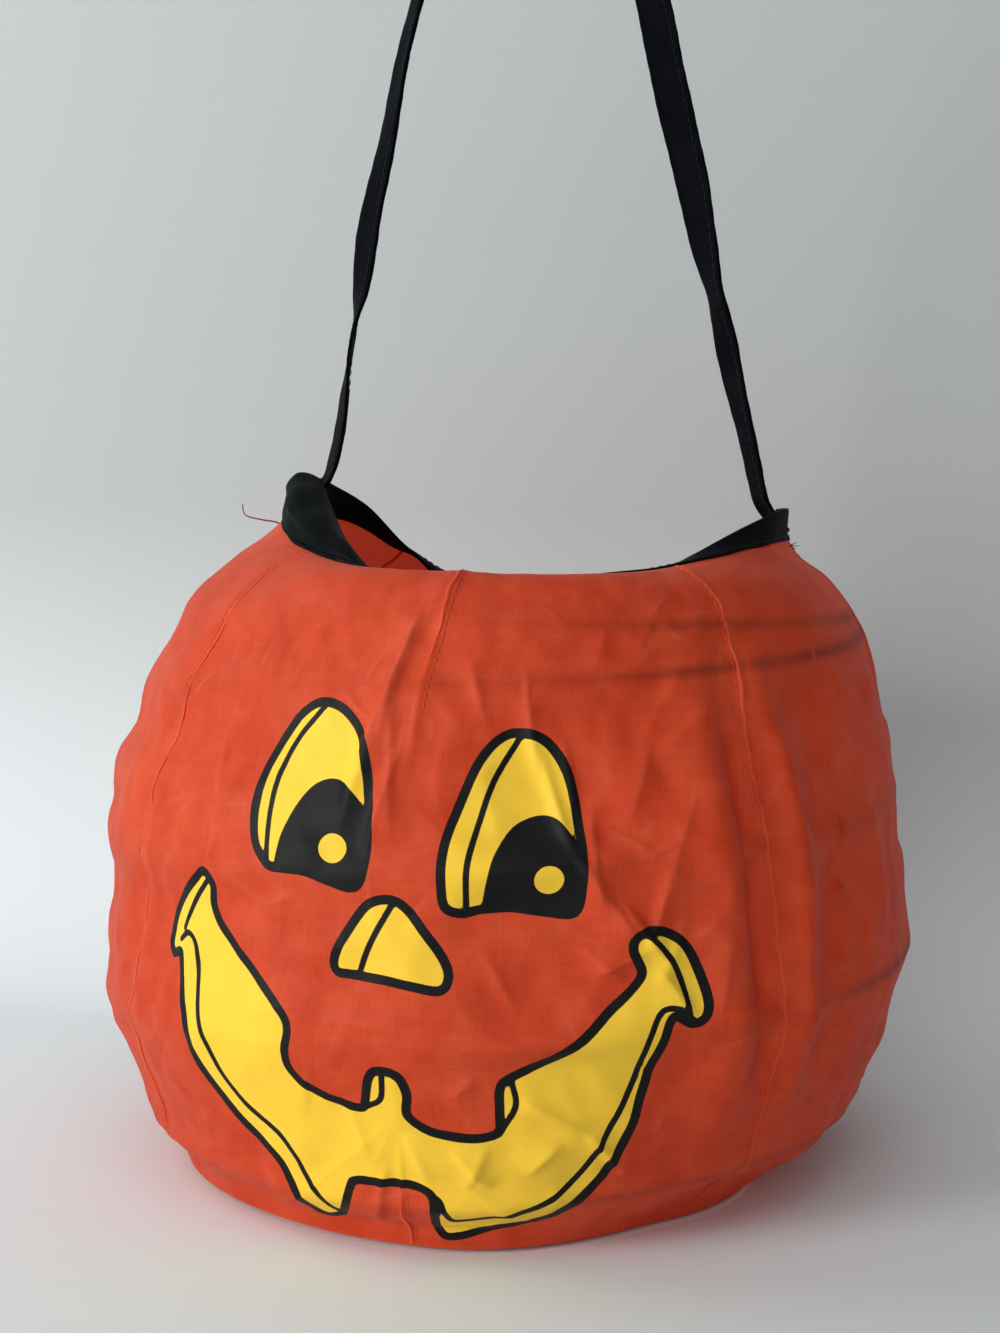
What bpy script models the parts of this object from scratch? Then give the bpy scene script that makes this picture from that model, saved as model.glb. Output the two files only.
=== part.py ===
# Collapsible pumpkin basket: thin cloth panels stretched over one spiral spring wire,
# with a bound mouth and a folded cloth strap. Metres, +Z up, front faces -Y, the base stands on z = 0.
import bpy
import bmesh
import numpy as np
from functools import lru_cache
from math import cos, pi, radians, sin
from mathutils import Matrix, Vector

# Driving sizes
OBJECT_NAME = "pumpkin_basket"
BODY_RADIUS = 0.125
BASE_RADIUS = 0.0895
RING_RADIUS = 0.101
RING_HEIGHT = 0.1715
SHOULDER_RISE = 0.0125
FRONT_RIM_RISE = 0.004
PEAK_RISE = 0.034
MOUTH_HALF_X = 0.075
MOUTH_HALF_Y = 0.074
PEAK_SHARPNESS = 2.5
CLOTH = 0.0008
HEM_EDGE = 0.0009
HEM_WIDTH = 0.002
HEM_HEIGHT = 0.0022
HEM_SOFT = 0.0005
GAP = 0.0003
SEAM_WIDTH = 0.0008
SEAM_STAND = 0.0012
CLOTH_DIP = 0.0015
SEAM_DIP = 0.0015
SEAM_DIP_ANGLE = radians(7)
WIRE_RADIUS = 0.0008
WIRE_CLEARANCE = 0.0006
WIRE_PITCH = 0.047
WIRE_LOW = 0.014
WIRE_START_ANGLE = radians(-30)
WIRE_FLAT_LOW = radians(300)
WIRE_FLAT_HIGH = radians(264)
CAP_RADIUS = 0.0018
CAP_LENGTH = 0.008
CAP_BOTTOM = 0.003
THREAD_RADIUS = 0.0005
THREAD_CLEARANCE = 0.0005
BINDING_WIDTH = 0.011
BINDING_THICK = 0.0007
BINDING_GAP = 0.0004
STRAP_WIDTH = 0.011
STRAP_THICK = 0.0015
STRAP_GROOVE = 0.0004
STRAP_GROOVE_HALF = 0.0009
STRAP_END_HALF = 0.0013
STRAP_CLEARANCE = 0.0005
STRAP_BEND_RISE = 0.008
STRAP_BEND_IN = 0.0012
STRAP_ABOVE_RIM = 0.194
STRAP_TOP_HALF_WIDTH = 0.037
STRAP_TOP_ARCH = 0.039
STRAP_SEWN_DEPTH = 0.014
TOP_DART_LENGTH = 0.060
BOTTOM_DART_LENGTH = 0.034
DART_STAND = 0.0009
DART_ROOT = 0.0008
DART_TIP = 0.0003
TACK_BAR = 0.008
TACK_BAR_WIDTH = 0.0014
TACK_BAR_DEPTH = 0.0062
TACK_BAR_THICK = 0.0005

# Shape of the side wall: share of the ring's height, share of the body radius
WALL_SHAPE = ((0.058, 0.832), (0.146, 0.920), (0.262, 0.972), (0.396, 1.0), (0.536, 0.996), (0.665, 0.980),
              (0.793, 0.940), (0.898, 0.884))
# Shape of the shoulder: share of the way in to the mouth, share of the rise, at the front and at the sides
FRONT_SHOULDER = ((0.24, 0.72), (0.52, 1.0), (0.78, 0.80))
SIDE_SHOULDER = ((0.36, 0.35), (0.72, 0.54), (0.95, 0.765))

# Counts of facets
PANEL_COLUMNS = 12
LOWER_ROWS = 19
UPPER_ROWS = 9
LOWER_SHARE = 0.70
LINE_SAMPLES = 240
ROUND_STEPS = 48
COIL_POINTS = 24
STRAP_STATIONS = 46

FULL_TURN = 2 * pi
ANGLE_STEP = radians(0.5)
COIL_STEP = FULL_TURN / COIL_POINTS
SEAM_ANGLES = {"front_right": -pi / 4, "front_left": -3 * pi / 4, "back_right": pi / 4, "back_left": 3 * pi / 4}
PANEL_ANGLES = {"front": -pi / 2, "right": 0.0, "back": pi / 2, "left": pi}
WIRE_TOP = RING_HEIGHT
WIRE_RISE = (WIRE_TOP - WIRE_LOW) / WIRE_PITCH * FULL_TURN
WIRE_TURNING = round((WIRE_FLAT_LOW + WIRE_RISE + WIRE_FLAT_HIGH) / COIL_STEP) * COIL_STEP
RIM_TOP = RING_HEIGHT + PEAK_RISE
BINDING_OUTSIDE = BINDING_GAP + BINDING_THICK
STRAP_AXIS_HEIGHT = RIM_TOP + BINDING_OUTSIDE + STRAP_WIDTH / 2 + STRAP_CLEARANCE
SEWN_END_X = MOUTH_HALF_X - CLOTH - BINDING_OUTSIDE - 2 * GAP - STRAP_THICK / 2
STRAP_ROOT_X = SEWN_END_X - STRAP_THICK - GAP


def clear_scene():
    for old in list(bpy.data.objects):
        bpy.data.objects.remove(old, do_unlink=True)


def smooth_line(points, samples):
    """A curve through the points, with evenly spaced samples along it."""
    p = np.array(points, float)
    p = np.vstack([2 * p[0] - p[1], p, 2 * p[-1] - p[-2]])
    t = np.linspace(0, 1, 12, endpoint=False)[:, None]
    spans = []
    for i in range(1, len(p) - 2):
        a, b, c, d = p[i - 1], p[i], p[i + 1], p[i + 2]
        spans.append(0.5 * (2 * b + (c - a) * t + (2 * a - 5 * b + 4 * c - d) * t**2
                            + (3 * b - a - 3 * c + d) * t**3))
    line = np.vstack(spans + [p[-2:-1]])
    along = np.r_[0, np.cumsum(np.linalg.norm(np.diff(line, axis=0), axis=1))]
    even = np.linspace(0, along[-1], samples)
    return np.stack([np.interp(even, along, line[:, k]) for k in range(line.shape[1])], axis=1)


def wire_height(turned):
    """Height at which the wire touches the wall after turning this far: flat, rising evenly, flat."""
    rise = np.clip(turned - WIRE_FLAT_LOW, 0, WIRE_RISE)
    return WIRE_LOW + rise / FULL_TURN * WIRE_PITCH


def wire_crossings(angle):
    first = (angle - WIRE_START_ANGLE) % FULL_TURN
    return np.sort(wire_height(np.arange(first, WIRE_TURNING, FULL_TURN)))


def cloth_dip(angle, heights):
    """How far the cloth draws in between two turns of the wire, more so beside a seam."""
    crossings = wire_crossings(angle)
    off = min(abs((angle - s + pi) % FULL_TURN - pi) for s in SEAM_ANGLES.values())
    deepest = CLOTH_DIP + SEAM_DIP * np.exp(-(off / SEAM_DIP_ANGLE) ** 2)
    dip = np.zeros_like(heights)
    for low, high in zip(crossings[:-1], crossings[1:]):
        span = high - low
        if span > 0.2 * WIRE_PITCH:
            inside = (heights > low) & (heights < high)
            wave = np.sin(pi * (heights[inside] - low) / span) ** 2
            dip[inside] = deepest * (span / WIRE_PITCH) ** 2 * wave
    return dip


def wall_line(angle):
    """Outside of the cloth at one angle, from the base edge to the rim, as radius and height."""
    side = abs(cos(angle)) ** PEAK_SHARPNESS
    mouth = 1 / np.hypot(cos(angle) / MOUTH_HALF_X, sin(angle) / MOUTH_HALF_Y)
    points = [(BASE_RADIUS + GAP + CLOTH, HEM_EDGE)]
    points += [(share_r * BODY_RADIUS, share_z * RING_HEIGHT) for share_z, share_r in WALL_SHAPE]
    points.append((RING_RADIUS, RING_HEIGHT))
    for (in_f, up_f), (in_s, up_s) in zip(FRONT_SHOULDER, SIDE_SHOULDER):
        inward = in_f + (in_s - in_f) * side
        rise = up_f * SHOULDER_RISE + (up_s * PEAK_RISE - up_f * SHOULDER_RISE) * side
        points.append((RING_RADIUS + (mouth - RING_RADIUS) * inward, RING_HEIGHT + rise))
    points.append((mouth, RING_HEIGHT + FRONT_RIM_RISE + (PEAK_RISE - FRONT_RIM_RISE) * side))
    line = smooth_line(points, LINE_SAMPLES)
    line[:, 0] -= cloth_dip(angle, line[:, 1])
    return line


@lru_cache(maxsize=None)
def wall_surface(angle):
    """Points of the wall at one angle with their outward, upward and sideways directions."""
    def points(a):
        line = wall_line(a)
        return np.stack([line[:, 0] * cos(a), line[:, 0] * sin(a), line[:, 1]], axis=1)

    def unit(v):
        return v / np.linalg.norm(v, axis=1)[:, None]

    here = points(angle)
    upward = unit(np.gradient(here, axis=0))
    across = unit(points(angle + ANGLE_STEP) - points(angle - ANGLE_STEP))
    return here, unit(np.cross(across, upward)), upward, across


def wall_at(angle, shares, depth, past=0.0, sideways=0.0):
    """Points of the wall at these shares of its length, this deep inside it, and this far past the rim."""
    here, outward, upward, across = wall_surface(angle)
    even = np.linspace(0, 1, len(here))
    moved = here - outward * depth
    at = np.stack([np.interp(shares, even, moved[:, k]) for k in range(3)], axis=1)
    side = np.stack([np.interp(shares, even, across[:, k]) for k in range(3)], axis=1)
    return at + past * upward[-1] + side * np.broadcast_to(sideways, len(at))[:, None]


def wall_length(angle):
    return np.linalg.norm(np.diff(wall_line(angle), axis=0), axis=1).sum()


def wall_rows(angle):
    """Shares of the wall's length at which its facets meet. The last four lie under the binding."""
    length = wall_length(angle)
    under = (BINDING_WIDTH + 2 * GAP) / length
    lower = np.linspace(0, LOWER_SHARE, LOWER_ROWS + 1)
    upper = np.linspace(LOWER_SHARE, 1 - under, UPPER_ROWS + 1)[1:]
    return np.r_[lower, upper, 1 - BINDING_WIDTH / length * np.array([1, 2 / 3, 1 / 3, 0])]


def wall_frame_at_height(angle, height):
    """Outside point of the wall at this height, with its outward and upward directions."""
    line = wall_line(angle)
    k = int(np.argmax(line[:, 1] > height))
    share = (height - line[k - 1, 1]) / (line[k, 1] - line[k - 1, 1])
    radius = line[k - 1, 0] + share * (line[k, 0] - line[k - 1, 0])
    up = line[k + 1] - line[k - 2]
    up /= np.linalg.norm(up)
    turn = np.array([[cos(angle), 0.0], [sin(angle), 0.0], [0.0, 1.0]])
    return turn @ np.array([radius, height]), turn @ np.array([up[1], -up[0]]), turn @ up


def make_material(name, colour, roughness, metallic=0.0):
    material = bpy.data.materials.new(name)
    material.use_nodes = True
    shader = material.node_tree.nodes["Principled BSDF"]
    shader.inputs["Base Color"].default_value = (*colour, 1)
    shader.inputs["Roughness"].default_value = roughness
    shader.inputs["Metallic"].default_value = metallic
    material.diffuse_color = (*colour, 1)
    return material


ORANGE = (0.72, 0.085, 0.028)
BLACK = (0.012, 0.015, 0.02)
STEEL = (0.42, 0.42, 0.43)


def place(name, data, colour, roughness, metallic=0.0, origin=(0, 0, 0)):
    data.materials.append(make_material(name + "_material", colour, roughness, metallic))
    obj = bpy.data.objects.new(name, data)
    if isinstance(data, bpy.types.Mesh):
        data.transform(Matrix.Translation(-Vector(origin)))
        obj.location = origin
    parts.objects.link(obj)
    return obj


def grid_faces(rows, columns, wrap=False, turn_row=None):
    """Triangles of a grid. The diagonals lean the same way on the wall, also where rows run down again."""
    faces = []
    for i in range(rows - 1):
        for j in range(columns if wrap else columns - 1):
            k = (j + 1) % columns
            a, b, c, d = i * columns + j, i * columns + k, (i + 1) * columns + k, (i + 1) * columns + j
            if turn_row is not None and i >= turn_row:
                faces += [(a, b, d), (b, c, d)]
            else:
                faces += [(a, b, c), (a, c, d)]
    return faces


def sheet(name, rows_of_points, thickness, colour, roughness=0.6, origin=(0, 0, 0), ring=False, turn_row=None):
    """An open surface given as rows of points from the bottom up, thickened inwards, or outwards if negative."""
    points = np.array(rows_of_points)
    rows, columns = points.shape[:2]
    mesh = bpy.data.meshes.new(name)
    mesh.from_pydata(points.reshape(-1, 3).tolist(), [], grid_faces(rows, columns, ring, turn_row))
    mesh.polygons.foreach_set("use_smooth", [True] * len(mesh.polygons))
    obj = place(name, mesh, colour, roughness, origin=origin)
    solid = obj.modifiers.new("thickness", "SOLIDIFY")
    solid.thickness = abs(thickness)
    solid.offset = -1 if thickness > 0 else 1
    solid.use_even_offset = True
    return obj


def loft(name, sections, ring, colour, roughness=0.6, origin=(0, 0, 0)):
    """A solid through closed sections of equal count, joined end to end as a ring or capped."""
    points = np.array(sections)
    count, around = points.shape[:2]
    faces = grid_faces(count, around, wrap=True)
    if ring:
        last = (count - 1) * around
        faces += [(last + j, last + (j + 1) % around, (j + 1) % around, j) for j in range(around)]
    else:
        faces += [tuple(range(around)), tuple((count - 1) * around + j for j in range(around))]
    mesh = bpy.data.meshes.new(name)
    mesh.from_pydata(points.reshape(-1, 3).tolist(), [], faces)
    work = bmesh.new()
    work.from_mesh(mesh)
    bmesh.ops.recalc_face_normals(work, faces=work.faces)
    work.to_mesh(mesh)
    work.free()
    mesh.polygons.foreach_set("use_smooth", [True] * len(mesh.polygons))
    return place(name, mesh, colour, roughness, origin=origin)


def tube(name, points, radius, colour, roughness, metallic):
    curve = bpy.data.curves.new(name, "CURVE")
    curve.dimensions = "3D"
    curve.bevel_depth = radius
    curve.bevel_resolution = 1
    curve.use_fill_caps = True
    line = curve.splines.new("POLY")
    line.points.add(len(points) - 1)
    for point, at in zip(line.points, points):
        point.co = (*at, 1)
    return place(name, curve, colour, roughness, metallic)


def turned(name, profile, colour, roughness, metallic=0.0):
    """A closed or axis-to-axis outline of radius and height, turned round Z."""
    mesh = bpy.data.meshes.new(name)
    closed = profile[0][0] > 0
    count = len(profile)
    edges = [(i, i + 1) for i in range(count - 1)] + ([(count - 1, 0)] if closed else [])
    mesh.from_pydata([(r, 0, z) for r, z in profile], edges, [])
    obj = place(name, mesh, colour, roughness, metallic)
    screw = obj.modifiers.new("turn", "SCREW")
    screw.steps = screw.render_steps = ROUND_STEPS
    screw.use_merge_vertices = True
    screw.merge_threshold = 0.00001
    screw.use_normal_calculate = True
    screw.use_normal_flip = True
    return obj


def build_panels():
    edge = SEAM_WIDTH / 2 + GAP
    for name, middle in PANEL_ANGLES.items():
        columns = []
        for j in range(PANEL_COLUMNS + 1):
            angle = middle + (j / PANEL_COLUMNS - 0.5) * pi / 2
            sideways = {0: edge, PANEL_COLUMNS: -edge}.get(j, 0.0)
            columns.append(wall_at(angle, wall_rows(angle), 0.0, sideways=sideways))
        sheet(name + "_panel", np.swapaxes(np.array(columns), 0, 1), CLOTH, ORANGE)


def wall_strip(name, angle, shares, half_width, outer_depth, thickness, colour):
    """A narrow strip that follows the wall at one angle."""
    sides = [wall_at(angle, shares, outer_depth, sideways=way * half_width) for way in (-1, 1)]
    return sheet(name, np.stack(sides, axis=1), thickness, colour)


def build_seams_and_darts():
    """Standing seams between the panels, and a stitched dart at the top and the bottom of each panel."""
    for name, angle in SEAM_ANGLES.items():
        shares = wall_rows(angle)[:-4]
        wall_strip("seam_" + name, angle, shares, SEAM_WIDTH / 2, -SEAM_STAND, SEAM_STAND + CLOTH, ORANGE)
    for name, angle in PANEL_ANGLES.items():
        shares = wall_rows(angle)[:-4]
        length = wall_length(angle)
        top = shares[shares > shares[-1] - TOP_DART_LENGTH / length]
        bottom = shares[shares < BOTTOM_DART_LENGTH / length]
        for end, run, widths in (("top", top, (DART_TIP, DART_ROOT)), ("bottom", bottom, (DART_ROOT, DART_TIP))):
            width = np.linspace(*widths, len(run))
            wall_strip("dart_%s_%s" % (end, name), angle, run, width, -GAP - DART_STAND, DART_STAND, ORANGE)


def build_base():
    edge = BASE_RADIUS - GAP
    inner = edge - HEM_WIDTH
    side = HEM_HEIGHT - HEM_SOFT
    turned("base_seam", [(inner, 0), (edge, 0), (edge, side), (edge - HEM_SOFT, HEM_HEIGHT),
                         (inner + HEM_SOFT, HEM_HEIGHT), (inner, side)], ORANGE, 0.6)
    turned("base_panel", [(0, 0), (inner - GAP, 0), (inner - GAP, CLOTH), (0, CLOTH)], ORANGE, 0.6)


def wire_path():
    """Centre line of the spiral: the wire follows the inside of the wall, and its two ends turn a little inwards."""
    steps = round(WIRE_TURNING / COIL_STEP)
    inside = CLOTH + WIRE_CLEARANCE + WIRE_RADIUS
    points = []
    for i in range(steps + 1):
        turned_by = i * COIL_STEP
        at, outward, _ = wall_frame_at_height(WIRE_START_ANGLE + turned_by, wire_height(turned_by))
        to_end = min(i, steps - i)
        tuck = CAP_RADIUS * max(0.0, 1 - to_end / 2)
        points.append(at - outward * (inside + tuck))
    return np.array(points)


def coil_gap(points):
    """Least clear distance between turns of the coil, measured on its points."""
    apart = np.linalg.norm(points[:, None] - points[None], axis=2)
    count = len(points)
    near = np.abs(np.arange(count)[:, None] - np.arange(count)[None]) < COIL_POINTS // 2
    apart[near] = 1
    return apart.min() - 2 * WIRE_RADIUS


def build_wire():
    path = wire_path()
    print("least gap between turns of the spiral wire: %.4f m" % coil_gap(path))
    tube("spiral_wire", path, WIRE_RADIUS, STEEL, 0.35, 1.0)
    bore = WIRE_RADIUS + GAP
    profile = [(0, 0), (CAP_RADIUS, 0), (CAP_RADIUS, CAP_LENGTH), (bore, CAP_LENGTH), (bore, CAP_BOTTOM),
               (0, CAP_BOTTOM)]
    for name, end, inner in (("bottom", path[0], path[1]), ("top", path[-1], path[-2])):
        cap = turned("wire_cap_" + name, profile, BLACK, 0.5)
        cap.modifiers["turn"].steps = cap.modifiers["turn"].render_steps = 16
        along = Vector(inner - end).normalized()
        cap.location = Vector(end) - along * (CAP_BOTTOM + GAP)
        cap.rotation_mode = "QUATERNION"
        cap.rotation_quaternion = along.to_track_quat("Z", "Y")


def seam_distance(angle, point, outward):
    """How far the seam's flat facet lies from a point inside the wall, measured outwards."""
    face = wall_at(angle, wall_rows(angle), CLOTH)
    at = np.array([np.interp(point[2], face[:, 2], face[:, k]) for k in range(3)])
    return (at - point) @ outward


def build_tacks():
    """Thread loops that hold the first and last turns of the wire to the seams."""
    reach = WIRE_RADIUS + THREAD_CLEARANCE + THREAD_RADIUS
    inside = CLOTH + WIRE_CLEARANCE + WIRE_RADIUS
    curl = [(-reach * sin(a), reach * cos(a)) for a in np.linspace(0, pi, 8)]
    near_start = [(a - WIRE_START_ANGLE) % FULL_TURN for a in SEAM_ANGLES.values()]
    for number, turned_by in enumerate(sorted(near_start), 1):
        last = turned_by + FULL_TURN * int((WIRE_TURNING - turned_by) / FULL_TURN)
        for end, turn in (("bottom", turned_by), ("top", last)):
            angle = WIRE_START_ANGLE + turn
            at, outward, up = wall_frame_at_height(angle, wire_height(turn))
            centre = at - outward * inside
            wall = min(seam_distance(angle, centre + up * m, outward) for m in (-reach, reach)) - GAP
            ends = [(wall, reach), (wall - THREAD_RADIUS, reach)]
            outline = ends + curl + [(n, -m) for n, m in reversed(ends)]
            points = [centre + outward * n + up * m for n, m in outline]
            tube("wire_tack_%s_%d" % (end, number), points, THREAD_RADIUS, ORANGE, 0.7, 0.0)


def build_binding():
    """A folded tape that runs round the mouth with the cloth edge between its two leaves."""
    columns = []
    for i in range(ROUND_STEPS):
        angle = i * FULL_TURN / ROUND_STEPS
        shares = wall_rows(angle)[-4:]
        tip = np.array([1.0])
        columns.append(np.vstack([
            wall_at(angle, shares, -BINDING_GAP),
            wall_at(angle, tip, -BINDING_GAP, BINDING_GAP),
            wall_at(angle, tip, CLOTH + BINDING_GAP, BINDING_GAP),
            wall_at(angle, shares[::-1], CLOTH + BINDING_GAP),
        ]))
    rows = np.swapaxes(np.array(columns), 0, 1)
    sheet("mouth_binding", rows, -BINDING_THICK, BLACK, 0.55, (0, 0, RIM_TOP), True, 5)


def strap_section(half_width, half_thick, groove):
    """Flat folded tape with softened edges and a shallow fold line on one face."""
    soft = half_thick * 0.6
    fold = STRAP_GROOVE_HALF
    w, t = half_width, half_thick
    return [(-w, -t + soft), (-w + soft, -t), (w - soft, -t), (w, -t + soft), (w, t - soft), (w - soft, t),
            (fold, t), (0.0, t - groove), (-fold, t), (-w + soft, t), (-w, t - soft)]


def strap_line():
    """Centre line of the free strap from its left root over the top to its right root."""
    leg_top = RIM_TOP + STRAP_ABOVE_RIM - STRAP_TOP_ARCH
    root = STRAP_AXIS_HEIGHT
    up = [(STRAP_ROOT_X, root - STRAP_WIDTH / 2), (STRAP_ROOT_X, root),
          (STRAP_ROOT_X - STRAP_BEND_IN, root + STRAP_BEND_RISE)]
    lean = (STRAP_ROOT_X - STRAP_TOP_HALF_WIDTH) / (leg_top - root)
    for share in (0.3, 0.6, 1.0):
        height = root + share * (leg_top - root)
        up.append((STRAP_ROOT_X - lean * (height - root), height))
    for turn in (22, 45, 68):
        a = radians(turn)
        up.append((STRAP_TOP_HALF_WIDTH * cos(a) ** 0.9, leg_top + STRAP_TOP_ARCH * sin(a)))
    right = [(x, z) for x, z in up]
    left = [(-x, z) for x, z in right]
    return smooth_line(left + [(0.0, leg_top + STRAP_TOP_ARCH)] + right[::-1], 400)


def build_strap():
    line = strap_line()
    tangent = np.gradient(line, axis=0)
    tangent /= np.linalg.norm(tangent, axis=1)[:, None]
    along = np.linspace(0, 1, len(line))
    length = np.linalg.norm(np.diff(line, axis=0), axis=1).sum()
    print("free length of the strap: %.4f m" % length)
    end = STRAP_WIDTH / 2 / length
    stations = np.r_[end * np.array([0.03, 0.2, 0.5]), np.linspace(end, 1 - end, STRAP_STATIONS),
                     1 - end * np.array([0.5, 0.2, 0.03])]
    twist = np.interp(stations, [0, 0.06, 0.14, 0.22, 0.34, 0.5, 0.64, 0.72, 0.84, 0.94, 1],
                      np.radians([0, 4, 24, 44, 28, 0, -62, -50, -26, -6, 0]))
    sections = []
    for s, angle in zip(stations, twist):
        x, z = (np.interp(s, along, line[:, k]) for k in (0, 1))
        tx, tz = (np.interp(s, along, tangent[:, k]) for k in (0, 1))
        middle = np.array([x, 0, z])
        across = np.array([0.0, 1.0, 0.0])
        face = np.array([-tz, 0.0, tx])
        wide = across * cos(angle) + face * sin(angle)
        thin = face * cos(angle) - across * sin(angle)
        from_end = min(s, 1 - s) / end
        half = STRAP_WIDTH / 2 * (np.sqrt(1 - (1 - from_end) ** 2) if from_end < 1 else 1)
        sections.append([middle + wide * w + thin * t for w, t in
                         strap_section(max(half, STRAP_END_HALF), STRAP_THICK / 2, STRAP_GROOVE)])
    loft("handle_strap", sections, False, BLACK, 0.5, (0, 0, STRAP_AXIS_HEIGHT))


def build_strap_ends():
    """The two sewn-down ends of the strap inside the binding, and the thread bars that hold them."""
    half = STRAP_WIDTH / 2
    top = STRAP_AXIS_HEIGHT
    bottom = RIM_TOP - STRAP_SEWN_DEPTH
    for name, side in (("left", -1), ("right", 1)):
        arch = [(half * cos(a), top + half * sin(a)) for a in np.linspace(0, pi, 9)]
        outline = [(-half, bottom), (half, bottom)] + arch
        sections = []
        for offset in (-STRAP_THICK / 2, STRAP_THICK / 2):
            sections.append([(side * SEWN_END_X + offset, y, z) for y, z in outline])
        loft("strap_end_" + name, sections, False, BLACK, 0.5, (0, 0, RIM_TOP))
        middle = 0.0 if side > 0 else pi
        spread = TACK_BAR / 2 / MOUTH_HALF_X
        shares = 1 - np.array([TACK_BAR_DEPTH, TACK_BAR_DEPTH - TACK_BAR_WIDTH]) / wall_length(middle)
        depth = -BINDING_OUTSIDE - GAP - TACK_BAR_THICK
        columns = [wall_at(middle + a, shares, depth) for a in np.linspace(-spread, spread, 5)]
        sheet("bar_tack_" + name, np.swapaxes(np.array(columns), 0, 1), TACK_BAR_THICK, BLACK, origin=(0, 0, RIM_TOP))


clear_scene()
parts = bpy.data.collections.new(OBJECT_NAME)
bpy.context.scene.collection.children.link(parts)
build_panels()
build_seams_and_darts()
build_base()
build_wire()
build_tacks()
build_binding()
build_strap()
build_strap_ends()
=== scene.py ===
import math
import bpy
import numpy as np
from mathutils import Matrix, Vector


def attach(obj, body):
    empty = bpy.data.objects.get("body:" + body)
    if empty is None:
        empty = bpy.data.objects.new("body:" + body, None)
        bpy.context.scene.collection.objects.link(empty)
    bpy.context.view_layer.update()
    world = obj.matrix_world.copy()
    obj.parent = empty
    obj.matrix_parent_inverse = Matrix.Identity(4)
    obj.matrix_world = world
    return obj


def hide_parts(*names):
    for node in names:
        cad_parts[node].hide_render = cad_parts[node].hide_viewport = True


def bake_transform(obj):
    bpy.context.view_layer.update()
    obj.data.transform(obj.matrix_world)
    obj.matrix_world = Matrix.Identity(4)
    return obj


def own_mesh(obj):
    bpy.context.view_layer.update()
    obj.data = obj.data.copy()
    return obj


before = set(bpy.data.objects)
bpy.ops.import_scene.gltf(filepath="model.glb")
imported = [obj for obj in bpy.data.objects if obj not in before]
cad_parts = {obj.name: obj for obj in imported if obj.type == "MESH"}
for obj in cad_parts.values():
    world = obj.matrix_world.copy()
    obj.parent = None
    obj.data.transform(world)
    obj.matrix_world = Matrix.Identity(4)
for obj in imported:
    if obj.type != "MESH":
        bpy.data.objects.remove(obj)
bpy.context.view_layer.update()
print("frame loaded:", len(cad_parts), "nodes")

mm = 0.001
tau = 2 * math.pi


def addObject(name, data):
    obj = bpy.data.objects.new(name, data)
    bpy.context.scene.collection.objects.link(obj)
    return obj


# Camera: where the photograph was taken from, a little to the right of the printed front
camera = {
    "place": (0.1163, -0.6205, 0.2042),
    "forward": (-0.19029, 0.97820, -0.08319),
    "up": (-0.03713, 0.07751, 0.99630),
    "lens": 54.04,
    "sensor": 36.0,
    "clip": 0.01,
}


def makeCamera():
    # the turn's columns are forward x up, their own product with forward, and -forward
    data = bpy.data.cameras.new("camera")
    data.lens = camera["lens"]
    data.sensor_width = camera["sensor"]
    data.clip_start = camera["clip"]
    forward = Vector(camera["forward"]).normalized()
    right = forward.cross(Vector(camera["up"])).normalized()
    turn = Matrix((right, right.cross(forward), -forward)).transposed().to_4x4()
    obj = addObject("camera", data)
    obj.matrix_world = Matrix.Translation(camera["place"]) @ turn
    bpy.context.scene.camera = obj


makeCamera()


# Small tools for curves and grids, all on whole arrays
def smoothThrough(knots, at):
    # Catmull-Rom: (2b + (c - a) t + (2a - 5b + 4c - d) t^2 + (3b - a - 3c + d) t^3) / 2 between b and c,
    # with the knots along axis 0, and at as knot numbers with a fraction
    k = np.asarray(knots, float)
    k = np.concatenate([2 * k[:1] - k[1:2], k, 2 * k[-1:] - k[-2:-1]])
    i = np.clip(np.floor(at).astype(int), 0, len(k) - 4)
    t = (np.asarray(at) - i).reshape((-1,) + (1,) * (k.ndim - 1))
    a, b, c, d = k[i], k[i + 1], k[i + 2], k[i + 3]
    return 0.5 * (2 * b + (c - a) * t + (2 * a - 5 * b + 4 * c - d) * t**2 + (3 * b - a - 3 * c + d) * t**3)


def smoothLine(knots, count):
    # that curve at count evenly spaced knot numbers
    return smoothThrough(knots, np.linspace(0, len(knots) - 1, count))


def roundTable(angle, table):
    # values round the circle from evenly spaced entries, the first at -180 degrees:
    # a (1 - w) + b w between neighbours a and b, with w = 0.5 - 0.5 cos(pi t)
    n = len(table)
    at = (np.degrees(angle) + 180) / 360 * n
    low = np.floor(at).astype(int)
    w = 0.5 - 0.5 * np.cos(np.pi * (at - low))
    values = np.asarray(table, float)
    return values[low % n] * (1 - w) + values[(low + 1) % n] * w


def heightTable(angle, height, heights, rows, easing):
    # the sum of every row's value at the angle times easing(how many rows away the height is, at most 1)
    place = np.interp(height, heights, np.arange(len(heights)))
    total = 0 * (angle + height)
    for k, row in enumerate(rows):
        total += roundTable(angle, row) * easing(np.clip(np.abs(place - k), 0, 1))
    return total


def alongPath(points):
    # distance along a path: the running sum of its steps' lengths
    return np.r_[0, np.cumsum(np.linalg.norm(np.diff(points, axis=0), axis=1))]


def unit(v):
    # v / |v|
    return v / np.maximum(np.linalg.norm(v, axis=-1, keepdims=True), 1e-12)


def levelOut(points):
    # level direction away from the upright axis: (x, y, 0) / |(x, y, 0)|
    return unit(points * np.array([1, 1, 0]))


def bell(x, width):
    # exp(-(x / width)^2)
    return np.exp(-((x / width) ** 2))


def crestShape(x, width):
    # a sharp crest: exp(-|x| / width)
    return np.exp(-np.abs(x) / width)


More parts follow.
